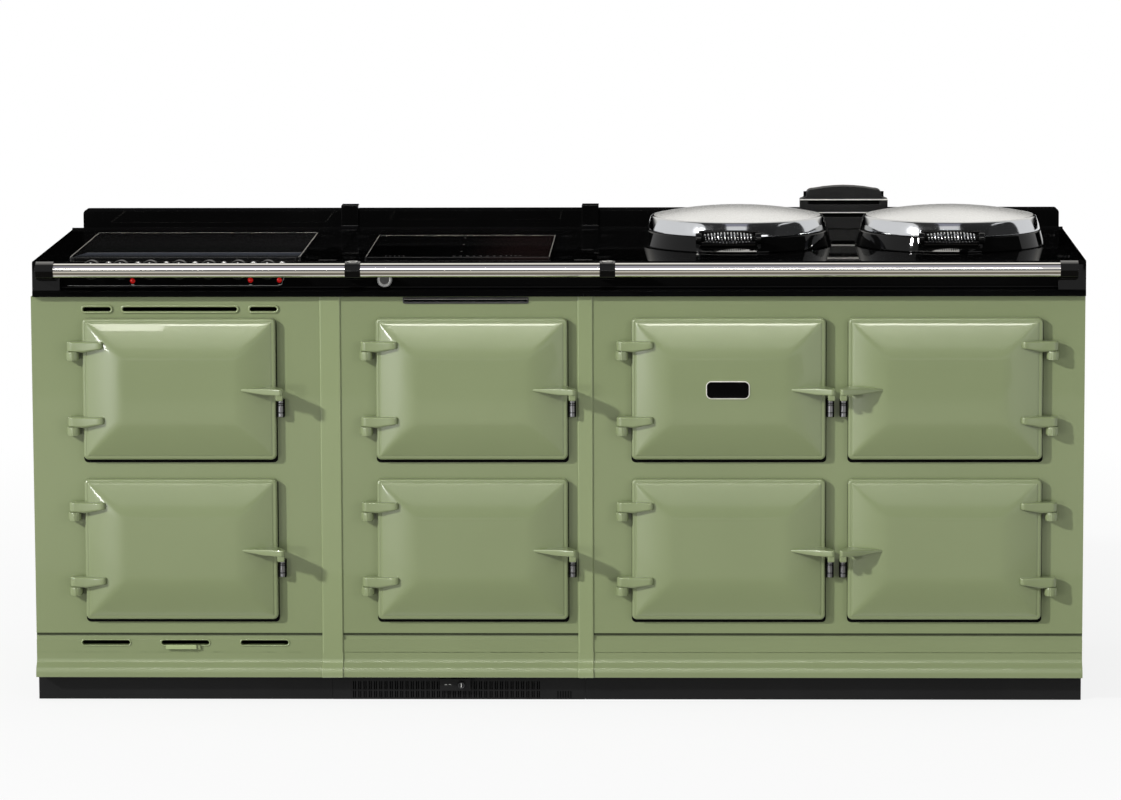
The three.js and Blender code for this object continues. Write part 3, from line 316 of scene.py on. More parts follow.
# Painted shade for the groove under the front plates.
GROOVE_SHADE = plain("joint shadow green", (0.035, 0.042, 0.022), 0.6, level=0.1)
RED = lamp_red()


# ------------------------------------------------------------------ mesh helpers

def linked(name, data):
    """A new object in the scene."""
    obj = bpy.data.objects.new(name, data)
    bpy.context.scene.collection.objects.link(obj)
    return obj


def middle_of(node):
    """The middle of a node's box."""
    low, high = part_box(node)
    return (low + high) / 2


def flatten(obj):
    """Large faces keep their own direction next to small rounded edges."""
    weighted = obj.modifiers.new("normals", "WEIGHTED_NORMAL")
    weighted.weight = 80
    weighted.keep_sharp = True


def outward(bm):
    bmesh.ops.recalc_face_normals(bm, faces=bm.faces)
    return bm


def to_mesh(bm, name):
    mesh = bpy.data.meshes.new(name)
    bm.to_mesh(mesh)
    bm.free()
    return mesh


def keep(name, bm, material, body, slot, *replaced, angle=35.0, clean=True):
    """Make a piece that rides on a body out of a finished bmesh."""
    if clean:
        outward(bm)
    mesh = to_mesh(bm, name)
    mesh.materials.append(material)
    obj = linked(name, mesh)
    mesh.shade_smooth()
    mesh.set_sharp_from_angle(angle=math.radians(angle))
    flatten(obj)
    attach(obj, body)
    if replaced:
        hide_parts(*replaced)


def fillet(points, radii, steps=5):
    """The closed outline with each corner rounded by its radius."""
    out = []
    count = len(points)
    if not isinstance(radii, (list, tuple)):
        radii = [radii] * count
    for i, point in enumerate(points):
        here = Vector(point)
        before = Vector(points[i - 1]) - here
        after = Vector(points[(i + 1) % count]) - here
        radius = radii[i]
        turn = before.angle(after)
        if radius <= 0 or abs(math.pi - turn) < 0.02:
            out.append(tuple(here))
            continue
        reach = min(radius / math.tan(turn / 2), 0.49 * before.length, 0.49 * after.length)
        radius = reach * math.tan(turn / 2)
        a = here + before.normalized() * reach
        b = here + after.normalized() * reach
        halfway = (before.normalized() + after.normalized()).normalized()
        centre = here + halfway * (radius / math.sin(turn / 2))
        for k in range(steps + 1):
            mixed = (a - centre).lerp(b - centre, k / steps)
            out.append(tuple(centre + mixed.normalized() * radius))
    return out


def arc(u, v, radius, start, steps=12):
    """Points of a half circle about (u, v), from an angle on."""
    angles = [start + math.pi * k / steps for k in range(steps + 1)]
    return [(u + radius * math.cos(angle), v + radius * math.sin(angle)) for angle in angles]


def circle(bm, centre, radius, across, up, sides):
    """A ring of corners about a centre, in the plane of two unit vectors."""
    angles = [2 * math.pi * k / sides for k in range(sides)]
    return [bm.verts.new(centre + radius * (across * math.cos(a) + up * math.sin(a))) for a in angles]


def bridge(bm, first, second):
    """Faces between two closed rings with as many corners each."""
    for i in range(len(first)):
        j = (i + 1) % len(first)
        bm.faces.new((first[i], first[j], second[j], second[i]))


def along_x(u, v, w):
    return (w, u, v)


def along_y(u, v, w):
    return (u, w, v)


def along_z(u, v, w):
    return (u, v, w)


def bevel_edges(bm, width, segments=3, angle=30.0):
    limit = math.radians(angle)
    edges = [e for e in bm.edges if len(e.link_faces) == 2 and e.calc_face_angle(0) > limit]
    bmesh.ops.bevel(
        bm, geom=edges, offset=width, segments=segments, profile=0.5,
        affect="EDGES", clamp_overlap=True,
    )


def solid_prism(outline, place, low, high, bevel=0.0, segments=3, angle=30.0):
    """A prism over an outline; place(u, v, w) gives a corner's position."""
    bm = bmesh.new()
    first, second = [[bm.verts.new(place(u, v, w)) for u, v in outline] for w in (low, high)]
    bm.faces.new(first)
    bm.faces.new(second[::-1])
    bridge(bm, second, first)
    outward(bm)
    if bevel:
        bevel_edges(bm, bevel, segments, angle)
    return bm


def rectangle(u0, u1, v0, v1):
    return [(u0, v0), (u1, v0), (u1, v1), (u0, v1)]


def box_bm(corner, other, bevel=0.0, segments=3):
    """A box between two opposite corners, in any order."""
    low, high = list(map(min, corner, other)), list(map(max, corner, other))
    outline = rectangle(low[0], high[0], low[1], high[1])
    return solid_prism(outline, along_z, low[2], high[2], bevel, segments)


def merge_into(target, source):
    """Append one bmesh to another."""
    mesh = bpy.data.meshes.new("part")
    source.to_mesh(mesh)
    source.free()
    target.from_mesh(mesh)
    bpy.data.meshes.remove(mesh)


def lathe_bm(profile, sides, place):
    """Revolve (radius, height) points in millimetres about Z, then place the result."""
    bm = bmesh.new()
    rings = []
    for radius, height in profile:
        centre = Vector((0, 0, height * MM))
        ring = circle(bm, centre, radius * MM, Vector((1, 0, 0)), Vector((0, 1, 0)), sides if radius else 1)
        rings.append(ring)
    for lower, upper in zip(rings, rings[1:]):
        for k in range(sides):
            lows = (lower[k % len(lower)], lower[(k + 1) % sides % len(lower)])
            highs = (upper[(k + 1) % sides % len(upper)], upper[k % len(upper)])
            corners = list(dict.fromkeys(lows + highs))
            if len(corners) > 2:
                bm.faces.new(corners)
    outward(bm)
    bm.transform(place)
    return bm


def facing_front(x, y, z):
    """Turns a turned piece's +Z to -Y and puts its origin at a point."""
    return Matrix.Translation((x, y, z)) @ Matrix.Rotation(math.pi / 2, 4, "X")


def lying_along_x(x, y, z):
    return Matrix.Translation((x, y, z)) @ Matrix.Rotation(math.pi / 2, 4, "Y")


def tube_bm(points, radius, sides):
    """A round tube through points, with flat ends."""
    bm = bmesh.new()
    points = [Vector(point) for point in points]
    rings = []
    normal = None
    for i, here in enumerate(points):
        tangent = (points[min(i + 1, len(points) - 1)] - points[max(i - 1, 0)]).normalized()
        if normal is None:
            normal = tangent.orthogonal().normalized()
        normal = (normal - tangent * normal.dot(tangent)).normalized()
        rings.append(circle(bm, here, radius, normal, tangent.cross(normal), sides))
    for first, second in zip(rings, rings[1:]):
        bridge(bm, first, second)
    bm.faces.new(rings[0][::-1])
    bm.faces.new(rings[-1])
    return outward(bm)


def loop_bm(points, radius, sides=10):
    """A round bead along a closed path that lies in a plane of constant Y."""
    bm = bmesh.new()
    points = [Vector(point) for point in points]
    normal = Vector((0.0, 1.0, 0.0))
    rings = []
    for i, here in enumerate(points):
        tangent = (points[(i + 1) % len(points)] - points[i - 1]).normalized()
        rings.append(circle(bm, here, radius, normal, tangent.cross(normal).normalized(), sides))
    for first, second in zip(rings, rings[1:] + rings[:1]):
        bridge(bm, first, second)
    return outward(bm)


def frame_bm(outer, inner, place, low, high):
    """A flat frame between two outlines with as many corners each."""
    bm = bmesh.new()
    rings = [
        [bm.verts.new(place(u, v, w)) for u, v in outline]
        for outline, w in ((outer, low), (outer, high), (inner, high), (inner, low))
    ]
    for first, second in zip(rings, rings[1:] + rings[:1]):
        bridge(bm, first, second)
    return outward(bm)


def disc_bm(radius, height, place, edge=0.5, sides=32):
    """A short cylinder on Z with a softened rim."""
    profile = [(0, 0), (radius, 0), (radius, height - edge), (radius - edge, height), (0, height)]
    return lathe_bm(profile, sides, place)


def dress(node, material, bevel=0.0012, segments=3, angle=32.0):
    """Finish a frame node that stays: its material and softened edges."""
    obj = NODES[node]
    obj.data.materials.clear()
    obj.data.materials.append(material)
    weld = obj.modifiers.new("weld", "WELD")
    weld.merge_threshold = WELD_DISTANCE
    flat = obj.modifiers.new("flat faces", "DECIMATE")
    flat.decimate_type = "DISSOLVE"
    flat.angle_limit = FLAT_ANGLE
    if bevel:
        soft = obj.modifiers.new("edges", "BEVEL")
        soft.width = bevel
        soft.segments = segments
        soft.limit_method = "ANGLE"
        soft.angle_limit = math.radians(angle)
        soft.harden_normals = False
        soft.use_clamp_overlap = True
    obj.data.shade_smooth()
    obj.data.set_sharp_from_angle(angle=math.radians(angle))
    flatten(obj)


# ------------------------------------------------------------------ kept nodes

def dress_nodes():
    for name in MODULES:
        dress(f"front_plate_{name}", GREEN)
        dress(f"top_casting_{name}", BLACK, 0.0017)
        dress(f"plinth_{name}", PLINTH, 0.0006)
    for name in SIDES:
        dress(f"side_panel_{name}", GREEN)
        dress(f"top_strip_{name}", BLACK, 0.0026)
        dress(f"hotplate_{name}", IRON)
        dress(f"lid_liner_{name}", BLACK)
    dress("rail_bracket_1", BLACK, 0.002)
    dress("rail_bracket_2", BLACK, 0.002)
    dress("rear_carcass", ZINC, 0.0)
    dress("vent_cowl", COWL, 0.003)
    dress("control_panel", BLACK, 0.001)
    for column in COLUMNS:
        for row in ROWS:
            dress(f"oven_liner_{column}_{row}", IRON)


# ------------------------------------------------------------------ doors

def pillow_height(d, flat):
    """Height of the crown at a distance from the nearest edge of the door."""
    rim = 10 * MM
    edge = 5 * MM
    if d < edge:
        return -(edge - math.sqrt(max(edge ** 2 - (edge - d) ** 2, 0)))
    step = min(max((d - 7.2 * MM) / (3.2 * MM), 0.0), 1.0)
    lift = DOOR_STEP * step * step * (3 - 2 * step)
    t = min(max(d - rim, 0.0) / flat, 1.0)
    return lift + (DOOR_CROWN - DOOR_STEP) * (1 - (1 - t) ** 1.5)


def soft_min(a, b, width=3 * MM):
    h = max(width - abs(a - b), 0.0) / width
    return min(a, b) - h * h * width * 0.25


def door_face(bm, low, high, back):
    """The crowned front of a door: a grid, dense near its edges."""
    near_rim = (0, 0.6, 1.4, 2.4, 3.6, 5, 7.2, 7.9, 8.5, 9.1, 9.7, 10.4)
    on_slope = (12, 15, 19, 24, 30, 37, 45, 54, 63, 71, 78, 84, 90)
    steps = [s * MM for s in near_rim + on_slope]
    radius = DOOR_CORNER

    def lines(a, b, count):
        inner = [a + s for s in steps]
        start, end = inner[-1], b - steps[-1]
        mid = [start + (end - start) * k / count for k in range(1, count)]
        return inner + mid + [b - s for s in reversed(steps)]

    xs = lines(low.x, high.x, 8)
    zs = lines(low.z, high.z, 6)
    grid = []
    for x in xs:
        column = []
        for z in zs:
            du = min(x - low.x, high.x - x)
            dv = min(z - low.z, high.z - z)
            h = pillow_height(soft_min(du, dv), DOOR_SLOPE)
            px, pz = x, z
            if du < radius and dv < radius:
                a, b = (radius - du), (radius - dv)
                length = math.hypot(a, b)
                if length > 1e-9:
                    scale = max(a, b) / length
                    px = x + math.copysign(a - a * scale, (low.x + high.x) / 2 - x)
                    pz = z + math.copysign(b - b * scale, (low.z + high.z) / 2 - z)
                h = pillow_height(radius - max(a, b), DOOR_SLOPE)
            column.append(bm.verts.new((px, RIM_PLANE - h, pz)))
        grid.append(column)
    for i in range(len(xs) - 1):
        for j in range(len(zs) - 1):
            bm.faces.new((grid[i][j], grid[i + 1][j], grid[i + 1][j + 1], grid[i][j + 1]))
    rim = (
        [c[0] for c in grid]
        + grid[-1][1:]
        + [c[-1] for c in reversed(grid[:-1])]
        + list(reversed(grid[0][1:-1]))
    )
    rear = [bm.verts.new((v.co.x, back, v.co.z)) for v in rim]
    bridge(bm, rear, rim)
    bm.faces.new(rear[::-1])


def door_lug(bm, pin_x, inward, centre_z):
    """A bar round the pin that runs over the door's slope; its underside rises inward."""
    radius, height, length = 11 * MM, 20 * MM, 62 * MM
    axis_y = FACE - 18 * MM
    front = ((22, -12.5), (46, -17.5), (57, -18.5), (62, -15))
    plan = arc(0, 0, radius, math.pi / 2, 10) + [(u * MM, v * MM) for u, v in front] + [(length, radius)]
    top = centre_z + 11 * MM
    upper, lower = [], []
    for u, v in plan:
        shoulder = max(u - 20 * MM, 0.0) / (length - 20 * MM)
        drop = height + (14 * MM - height) * shoulder
        for ring, z in ((upper, top), (lower, top - drop)):
            ring.append(bm.verts.new((pin_x + inward * u, axis_y + v, z)))
    bm.faces.new(upper)
    bm.faces.new(lower[::-1])
    bridge(bm, lower, upper)


def hinge_knuckle(bm, pin_x, centre_z):
    """The rounded boss under a lug, on the front plate."""
    half, top = 12.6 * MM, centre_z - 9.4 * MM
    plan = [(pin_x + half, FACE + 1 * MM), (pin_x - half, FACE + 1 * MM)]
    plan += arc(pin_x, FACE - 17 * MM, half, math.pi)
    merge_into(bm, solid_prism(plan, along_z, top - 17 * MM, top, 3.2 * MM, 4, 40))


def door_fin(bm, edge_x, outward, centre_z):
    """The triangular handle: a tapering shelf that ends in a turned-down lip."""
    outline = [
        (edge_x - outward * 74 * MM, RIM_PLANE - 13 * MM),
        (edge_x - outward * 20 * MM, FACE - 60 * MM),
        (edge_x + outward * 12 * MM, FACE - 72 * MM),
        (edge_x + outward * 17.6 * MM, FACE - 69 * MM),
        (edge_x + outward * 17.6 * MM, FACE - 57 * MM),
        (edge_x - outward * 2 * MM, RIM_PLANE + 2 * MM),
        (edge_x - outward * 74 * MM, RIM_PLANE + 2 * MM),
    ]
    half = 6.4 * MM
    part = solid_prism(outline, along_z, centre_z - half, centre_z + half)
    for vert in part.verts:
        if abs(vert.co.x - edge_x) > 50 * MM:
            vert.co.z = centre_z + (vert.co.z - centre_z) * 0.35
    bevel_edges(part, 2.6 * MM, 4)
    merge_into(bm, part)
    lip_near = (edge_x + outward * 3.4 * MM, FACE - 69 * MM, centre_z - 6.4 * MM - 11 * MM)
    lip_far = (edge_x + outward * 17.6 * MM, FACE - 57 * MM, centre_z)
    merge_into(bm, box_bm(lip_near, lip_far, 2.4 * MM, 4))


def build_door(column, row):
    node = f"door_{column}_{row}"
    low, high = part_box(node)
    joint = next(j for j in frame["joints"] if j["child"] == node)
    pin_x = joint["pos_m"][0]
    hinge_left = pin_x < (low.x + high.x) / 2
    if hinge_left:
        inward, left, right = 1, pin_x + PIN_OUTSET, high.x - FIN_OUTSET
    else:
        inward, left, right = -1, low.x + FIN_OUTSET, pin_x - PIN_OUTSET
    a, b = Vector((left, 0, low.z)), Vector((right, 0, high.z))
    bm = bmesh.new()
    door_face(bm, a, b, FACE - DOOR_SEAT)
    for drop in LUG_DROPS:
        part = bmesh.new()
        door_lug(part, pin_x, inward, high.z - drop)
        bevel_edges(outward(part), 4.6 * MM, 5, 40)
        merge_into(bm, part)
    edge_x = right if hinge_left else left
    door_fin(bm, edge_x, inward, (low.z + high.z) / 2)
    inset = 33 * MM
    outline = fillet(rectangle(a.x + inset, b.x - inset, a.z + inset, b.z - inset), 7 * MM)
    plug = solid_prism(outline, along_y, FACE - DOOR_SEAT - 1 * MM, FACE + 18 * MM, 2 * MM)
    merge_into(bm, plug)
    # Dark strip behind the door, showing below its lower edge and past its side: painted shadow in the gap
    # between door and plate.
    shadow_strip = solid_prism(
        fillet(rectangle(a.x - 0.6 * MM, b.x + 1.6 * MM, a.z - 7 * MM, b.z - 4 * MM), 8 * MM),
        along_y, FACE - 1.9 * MM, FACE - 0.4 * MM,
    )
    keep(f"{node}_seal", shadow_strip, DARK, node, "black_plastic")
    knuckles = bmesh.new()
    for drop in LUG_DROPS:
        hinge_knuckle(knuckles, pin_x, high.z - drop)
    keep(f"{node}_knuckles", knuckles, GREEN, "root", "green_enamel", clean=False)
    keep(f"{node}_casting", bm, GREEN, node, "green_enamel", node, angle=28, clean=False)
    build_catch(column, row, edge_x, inward, high.z)


def build_catch(column, row, edge_x, outward, top_z):
    """Spring roller on the front plate that holds the door's edge."""
    name = f"catch_{column}_{row}"
    middle = top_z - 181 * MM
    near = edge_x + outward * 1.6 * MM
    far = edge_x + outward * 16.8 * MM
    cage_low = (near, FACE - 16.4 * MM, middle - 18.4 * MM)
    cage = box_bm(cage_low, (far, FACE + 0.2 * MM, middle + 18.4 * MM), 2.0 * MM)
    keep(f"{name}_cage", cage, DARK, "root", "black_plastic")
    bm = bmesh.new()
    place = Matrix.Translation(((near + far) / 2, FACE - 13.2 * MM, middle))
    radius, edge = 5.8, 0.6
    for start, end in ((-17, -9), (-8, 6), (7, 9.4), (10.4, 17)):
        profile = [
            (0, start), (radius - edge, start), (radius, start + edge),
            (radius, end - edge), (radius - edge, end), (0, end),
        ]
        merge_into(bm, lathe_bm(profile, 28, place))
    keep(f"{name}_roller", bm, ROLLER, "root", "brushed_steel")


# ------------------------------------------------------------------ rails

def build_rails():
    for side in SIDES:
        node = f"handrail_{side}"
        low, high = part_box(node)
        radius = (high.z - low.z) / 2 / MM
        length = (high.x - low.x) / MM
        profile = [
            (0, 0), (radius - 1, 0), (radius, 1), (radius, length - 1), (radius - 1, length), (0, length),
        ]
        bm = lathe_bm(profile, 64, lying_along_x(low.x, (low.y + high.y) / 2, (low.z + high.z) / 2))
        keep(f"{node}_tube", bm, NICKEL, "root", "polished_steel", node)


# ------------------------------------------------------------------ lids

def build_lids():
    for side in SIDES:
        body = f"lid_{side}"
        cover = f"lid_cover_{side}"
        low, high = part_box(cover)
        radius = (high.x - low.x) / 2 / MM
        place = Matrix.Translation(((low.x + high.x) / 2, (low.y + high.y) / 2, low.z))
        steps = (
            (4, 0.2), (0.5, 0.2), (0, 1.1), (0.8, 5), (2.2, 11), (4.0, 17), (6.2, 22.6), (7.8, 25.8),
            (8.6, 26.9), (9.7, 27.8), (11.2, 28.5), (13.2, 29.0), (14.0, 29.1), (14.4, 28.6),
        )
        band = lathe_bm([(radius - inset, height) for inset, height in steps], 144, place)
        keep(f"{cover}_band", band, BRIGHT, body, "brushed_steel", cover, angle=50)
        crown, base, rows = (high.z - low.z) / MM, 29.1, 18
        shares = [1 - k / rows for k in range(rows + 1)]
        dome = [((radius - 14.2) * t, crown - (crown - base) * t ** 2.0) for t in shares]
        keep(f"{cover}_dome", lathe_bm(dome, 144, place), SATIN, body, "brushed_steel")
        build_liner_ring(side, body)
        build_handle(side, body)


def build_liner_ring(side, body):
    """The black ring under a cover, with its hinge knuckle at the back."""
    node = f"lid_liner_{side}"
    cover = middle_of(f"lid_cover_{side}")
    low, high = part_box(node)
    radius, height = (high.x - low.x) / 2 / MM, (high.z - low.z) / MM
    rim = radius - 7.5
    profile = [
        (0, height - 13), (radius - 13, height - 13), (radius - 13, 1), (radius - 12, 0),
        (radius - 2.5, 0), (radius - 0.7, 0.9), (radius - 0.3, 3), (rim, height - 3),
        (rim - 0.8, height - 1.2), (rim - 2.4, height - 0.2), (rim - 6, height), (0, height),
    ]
    bm = lathe_bm(profile, 144, Matrix.Translation((cover.x, cover.y, low.z)))
    foot = cover.y + (radius - 13) * MM
    knuckle = arc(high.y - 10 * MM, TOP + 20 * MM, 9.9 * MM, -math.pi / 2)
    outline = [(foot, TOP + 12 * MM), *knuckle, (foot, TOP + 28 * MM)]
    merge_into(bm, solid_prism(outline, along_x, cover.x - 25 * MM, cover.x + 25 * MM, 0.8 * MM, 3, 50))
    keep(f"{node}_ring", bm, BLACK, body, "black_enamel", node, clean=False)


def build_handle(side, body):
    node = f"lid_handle_{side}"
    low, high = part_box(node)
    x = (low.x + high.x) / 2
    y, z = low.y + 13 * MM, high.z - 15 * MM
    wire = 1.5 * MM
    turns, per_turn = 15, 24
    half = 49 * MM
    helix = []
    for k in range(turns * per_turn + 1):
        angle = 2 * math.pi * k / per_turn
        along = -1 + 2 * k / (turns * per_turn)
        radius = 13 * MM - 4.5 * MM * along ** 2 - wire
        helix.append((x + half * along, y + radius * math.cos(angle), z + radius * math.sin(angle)))
    coil = tube_bm(helix, wire, 10)
    keep(f"{node}_coil", coil, BRIGHT, body, "polished_steel", node)
    reach = 64
    rod = lathe_bm([(0, -reach), (5, -reach), (5, reach), (0, reach)], 24, lying_along_x(x, y, z))
    keep(f"{node}_rod", rod, DARK, body, "black_plastic")
    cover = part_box(f"lid_cover_{side}")
    lid = (cover[0] + cover[1]) / 2
    backing = box_bm(
        (x - 60 * MM, cover[0].y - 7 * MM, TOP + 8 * MM),
        (x + 60 * MM, cover[0].y + 12 * MM, z + 12 * MM), 2.5 * MM,
    )
    keep(f"{node}_backing", backing, BLACK, body, "black_enamel")
    ring_low, ring_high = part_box(f"lid_liner_{side}")
    ring = (ring_high.x - ring_low.x) / 2
    for end, sign in (("left", -1), ("right", 1)):
        post_x = x + sign * 60 * MM
        foot_y = lid.y - math.sqrt(ring ** 2 - (post_x - lid.x) ** 2) + 5 * MM
        outline = arc(y, z, 11 * MM, math.pi / 2) + [(foot_y, TOP + 9 * MM), (foot_y, TOP + 25 * MM)]
        post = solid_prism(outline, along_x, post_x - 6 * MM, post_x + 6 * MM, 2 * MM, 4, 40)
        keep(f"{node}_post_{end}", post, BLACK, body, "black_enamel")


# ------------------------------------------------------------------ hobs and controls

def hob_outline(low, high, inset, radius):
    """A hob's outline seen from above, moved in by an inset."""
    corners = rectangle(low.x + inset, high.x - inset, low.y + inset, high.y - inset)
    return fillet(corners, max(radius - inset, 0.5 * MM), 6)


def build_hobs():
    for name, glass, width, radius in (("left", SATIN_GLASS, 2.0, 14), ("middle", GLASS, 1.3, 4)):
        node = f"hob_{name}"
        low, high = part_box(node)
        top = high.z
        width, radius = width * MM, radius * MM
        outline = hob_outline(low, high, 0, radius)
        bm = solid_prism(outline, along_z, top - 4.7 * MM, top - 0.3 * MM, 0.8 * MM, 3)
        tray = box_bm(
            (low.x + 20 * MM, low.y + 20 * MM, low.z),
            (high.x - 20 * MM, high.y - 20 * MM, top - 3 * MM),
            1 * MM,
        )
        merge_into(bm, tray)
        keep(f"{node}_glass", bm, glass, "root", "dark_glass", node)
        trim = frame_bm(
            hob_outline(low, high, 1 * MM, radius), hob_outline(low, high, width + 1 * MM, radius),
            along_z, top - 0.5 * MM, top,
        )
        front = bmesh.ops.bisect_plane(
            trim, geom=trim.verts[:] + trim.edges[:] + trim.faces[:],
            plane_co=(0, low.y + 8 * MM, 0), plane_no=(0, -1, 0), clear_outer=True,
        )
        cut = [e for e in front["geom_cut"] if isinstance(e, bmesh.types.BMEdge)]
        bmesh.ops.holes_fill(trim, edges=cut)
        keep(f"{node}_trim", trim, LIGHT_TRIM, "root", "polished_steel")
    build_hob_print()


def build_hob_print():
    """Zone lines and touch marks printed on the hobs, and a front strip on the left hob whose paler, bluer tint
    is a painted reflection.
    """
    low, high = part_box("hob_left")
    z = high.z - 0.3 * MM
    strip = solid_prism(
        [
            (low.x + 4 * MM, low.y + 4 * MM), (high.x - 4 * MM, low.y + 4 * MM),
            (high.x - 4 * MM, low.y + 92 * MM), (low.x + 26 * MM, low.y + 92 * MM),
        ],
        along_z, z - 0.1 * MM, z + 0.15 * MM,
    )
    keep("hob_left_strip", strip, CONTROL_STRIP_PAINTED_REFLECTION, "root", "dark_glass")
    bm = bmesh.new()
    outline = rectangle(low.x + 26 * MM, high.x - 4 * MM, low.y + 92 * MM, low.y + 93.5 * MM)
    merge_into(bm, solid_prism(outline, along_z, z - 0.1 * MM, z + 0.25 * MM))
    keep("hob_left_line", bm, FAINT, "root", None)
    low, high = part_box("hob_middle")
    z = high.z - 0.3 * MM
    bm = bmesh.new()
    marks = [(-345 + 9 * i, 57, 3, 2) for i in range(5)]
    marks += [(-209 + 13.4 * i, 55, 5, 2) for i in range(8)]
    marks += [(-103 + 9 * i, 60, 3, 2) for i in range(4)]
    marks += [(-202, 417, 3, 3), (-199, 284, 3, 3), (-197, 144, 3, 3)]
    for x, y, length, depth in marks:
        y = FACE + y * MM
        outline = rectangle(x * MM, (x + length) * MM, y, y + depth * MM)
        merge_into(bm, solid_prism(outline, along_z, z - 0.1 * MM, z + 0.1 * MM))
    keep("hob_middle_marks", bm, FAINT, "root", None)


def build_knobs():
    for i in range(1, 8):
        node = f"control_knob_{i}"
        low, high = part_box(node)
        x, z = (low.x + high.x) / 2, (low.z + high.z) / 2
        radius = (high.x - low.x) / 2 / MM
        depth = 22
        front = low.y + 2 * MM
        profile = [
            (0, 0), (radius - 2, 0), (radius - 0.4, 0.8), (radius, 2.4), (radius - 0.6, depth - 5),
            (radius - 1.4, depth - 2), (radius - 3.4, depth - 0.3), (radius - 5, depth), (0, depth - 0.6),
        ]
        bm = lathe_bm(profile, 48, facing_front(x, front + depth * MM, z))
        length = (high.y - front) / MM - depth + 1
        shaft = [(0, 0), (5, 0), (5, length), (0, length)]
        merge_into(bm, lathe_bm(shaft, 20, facing_front(x, high.y, z)))
        keep(f"{node}_body", bm, KNOB, node, "black_plastic", node)
        pointer_low = (x - 1.4 * MM, front - 1.6 * MM, z + 3 * MM)
        pointer = box_bm(pointer_low, (x + 1.4 * MM, front + 1 * MM, z + 16 * MM), 0.6 * MM)
        keep(f"{node}_pointer", pointer, MARK, node, "black_plastic")


def build_start_button():
    node = "start_button"
    low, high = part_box(node)
    x, z = (low.x + high.x) / 2, (low.z + high.z) / 2
    radius = (high.x - low.x) / 2 / MM
    profile = [
        (0, 0), (radius - 0.6, 0), (radius, 0.8), (radius, 8), (radius - 1, 10.4), (radius - 2.6, 11.6),
        (radius - 4.2, 11.6), (radius - 4.8, 10.4), (radius - 5.6, 10.2), (0, 10.9),
    ]
    back = low.y + 12 * MM
    bm = lathe_bm(profile, 64, facing_front(x, back, z))
    length = (high.y - back) / MM + 1
    stem = [(0, 0), (8, 0), (8, length), (0, length)]
    merge_into(bm, lathe_bm(stem, 24, facing_front(x, high.y, z)))
    keep(f"{node}_cap", bm, BUTTON_RING, node, "polished_steel", node)
    face = disc_bm(radius - 5.6, 1.2, facing_front(x, back - 10.1 * MM, z + 1.2 * MM))
    keep(f"{node}_face", face, BUTTON, node, "brushed_steel")


def build_panel_details():
    """Red lamps and small marks on the control panel, lenses on the nosing."""
    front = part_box("control_panel")[0].y
    collar = [(0, -1), (6.6, -1), (6.6, 1.2), (6.0, 1.8), (5.3, 1.8), (5.3, 0.4), (0, 0.4)]
    lamp = [(0, 0.3), (5.1, 0.3), (5.1, 1.6), (3.6, 2.8), (1.8, 3.3), (0, 3.4)]
    marks, lamps, collars = bmesh.new(), bmesh.new(), bmesh.new()
    for x, z in LAMPS:
        place = facing_front(x * MM, front, z * MM)
        merge_into(collars, lathe_bm(collar, 36, place))
        merge_into(lamps, lathe_bm(lamp, 36, place))
        foot = rectangle(x * MM - 3 * MM, x * MM + 3 * MM, 841.6 * MM, 842.9 * MM)
        merge_into(marks, solid_prism(foot, along_y, front - 0.2 * MM, front + 0.4 * MM))
    keep("panel_lamp_rings", collars, KNOB, "root", "black_plastic")
    keep("panel_lamps", lamps, RED, "root", None)
    keep("panel_marks", marks, MARK, "root", None)
    # Thin pale line along the control panel's lower edge and slanted end: painted highlight.
    corners = ((-979, 840.4), (-556, 840.4), (-549, 843), (-539, 871))
    outline = tube_bm([(x * MM, front - 0.2 * MM, z * MM) for x, z in corners], 0.45 * MM, 8)
    keep("panel_edge_highlight_line", outline, MARK, "root", None)
    rim = [(0, -1), (7.5, -1), (7.5, 1.6), (6.7, 3.2), (5.2, 3.6), (4.9, 2.6), (0, 2.2)]
    lens = [(0, 2.0), (4.8, 2.0), (4.5, 3.0), (2.6, 4.0), (0, 4.4)]
    lenses, rims = bmesh.new(), bmesh.new()
    for x in DISCS:
        place = facing_front(x * MM, FACE - 11.3 * MM, DISC_HEIGHT)
        merge_into(rims, lathe_bm(rim, 40, place))
        merge_into(lenses, lathe_bm(lens, 40, place))
    keep("nosing_lens_rims", rims, DIM_CHROME, "root", "polished_steel")
    keep("nosing_lenses", lenses, DARK, "root", "dark_glass")


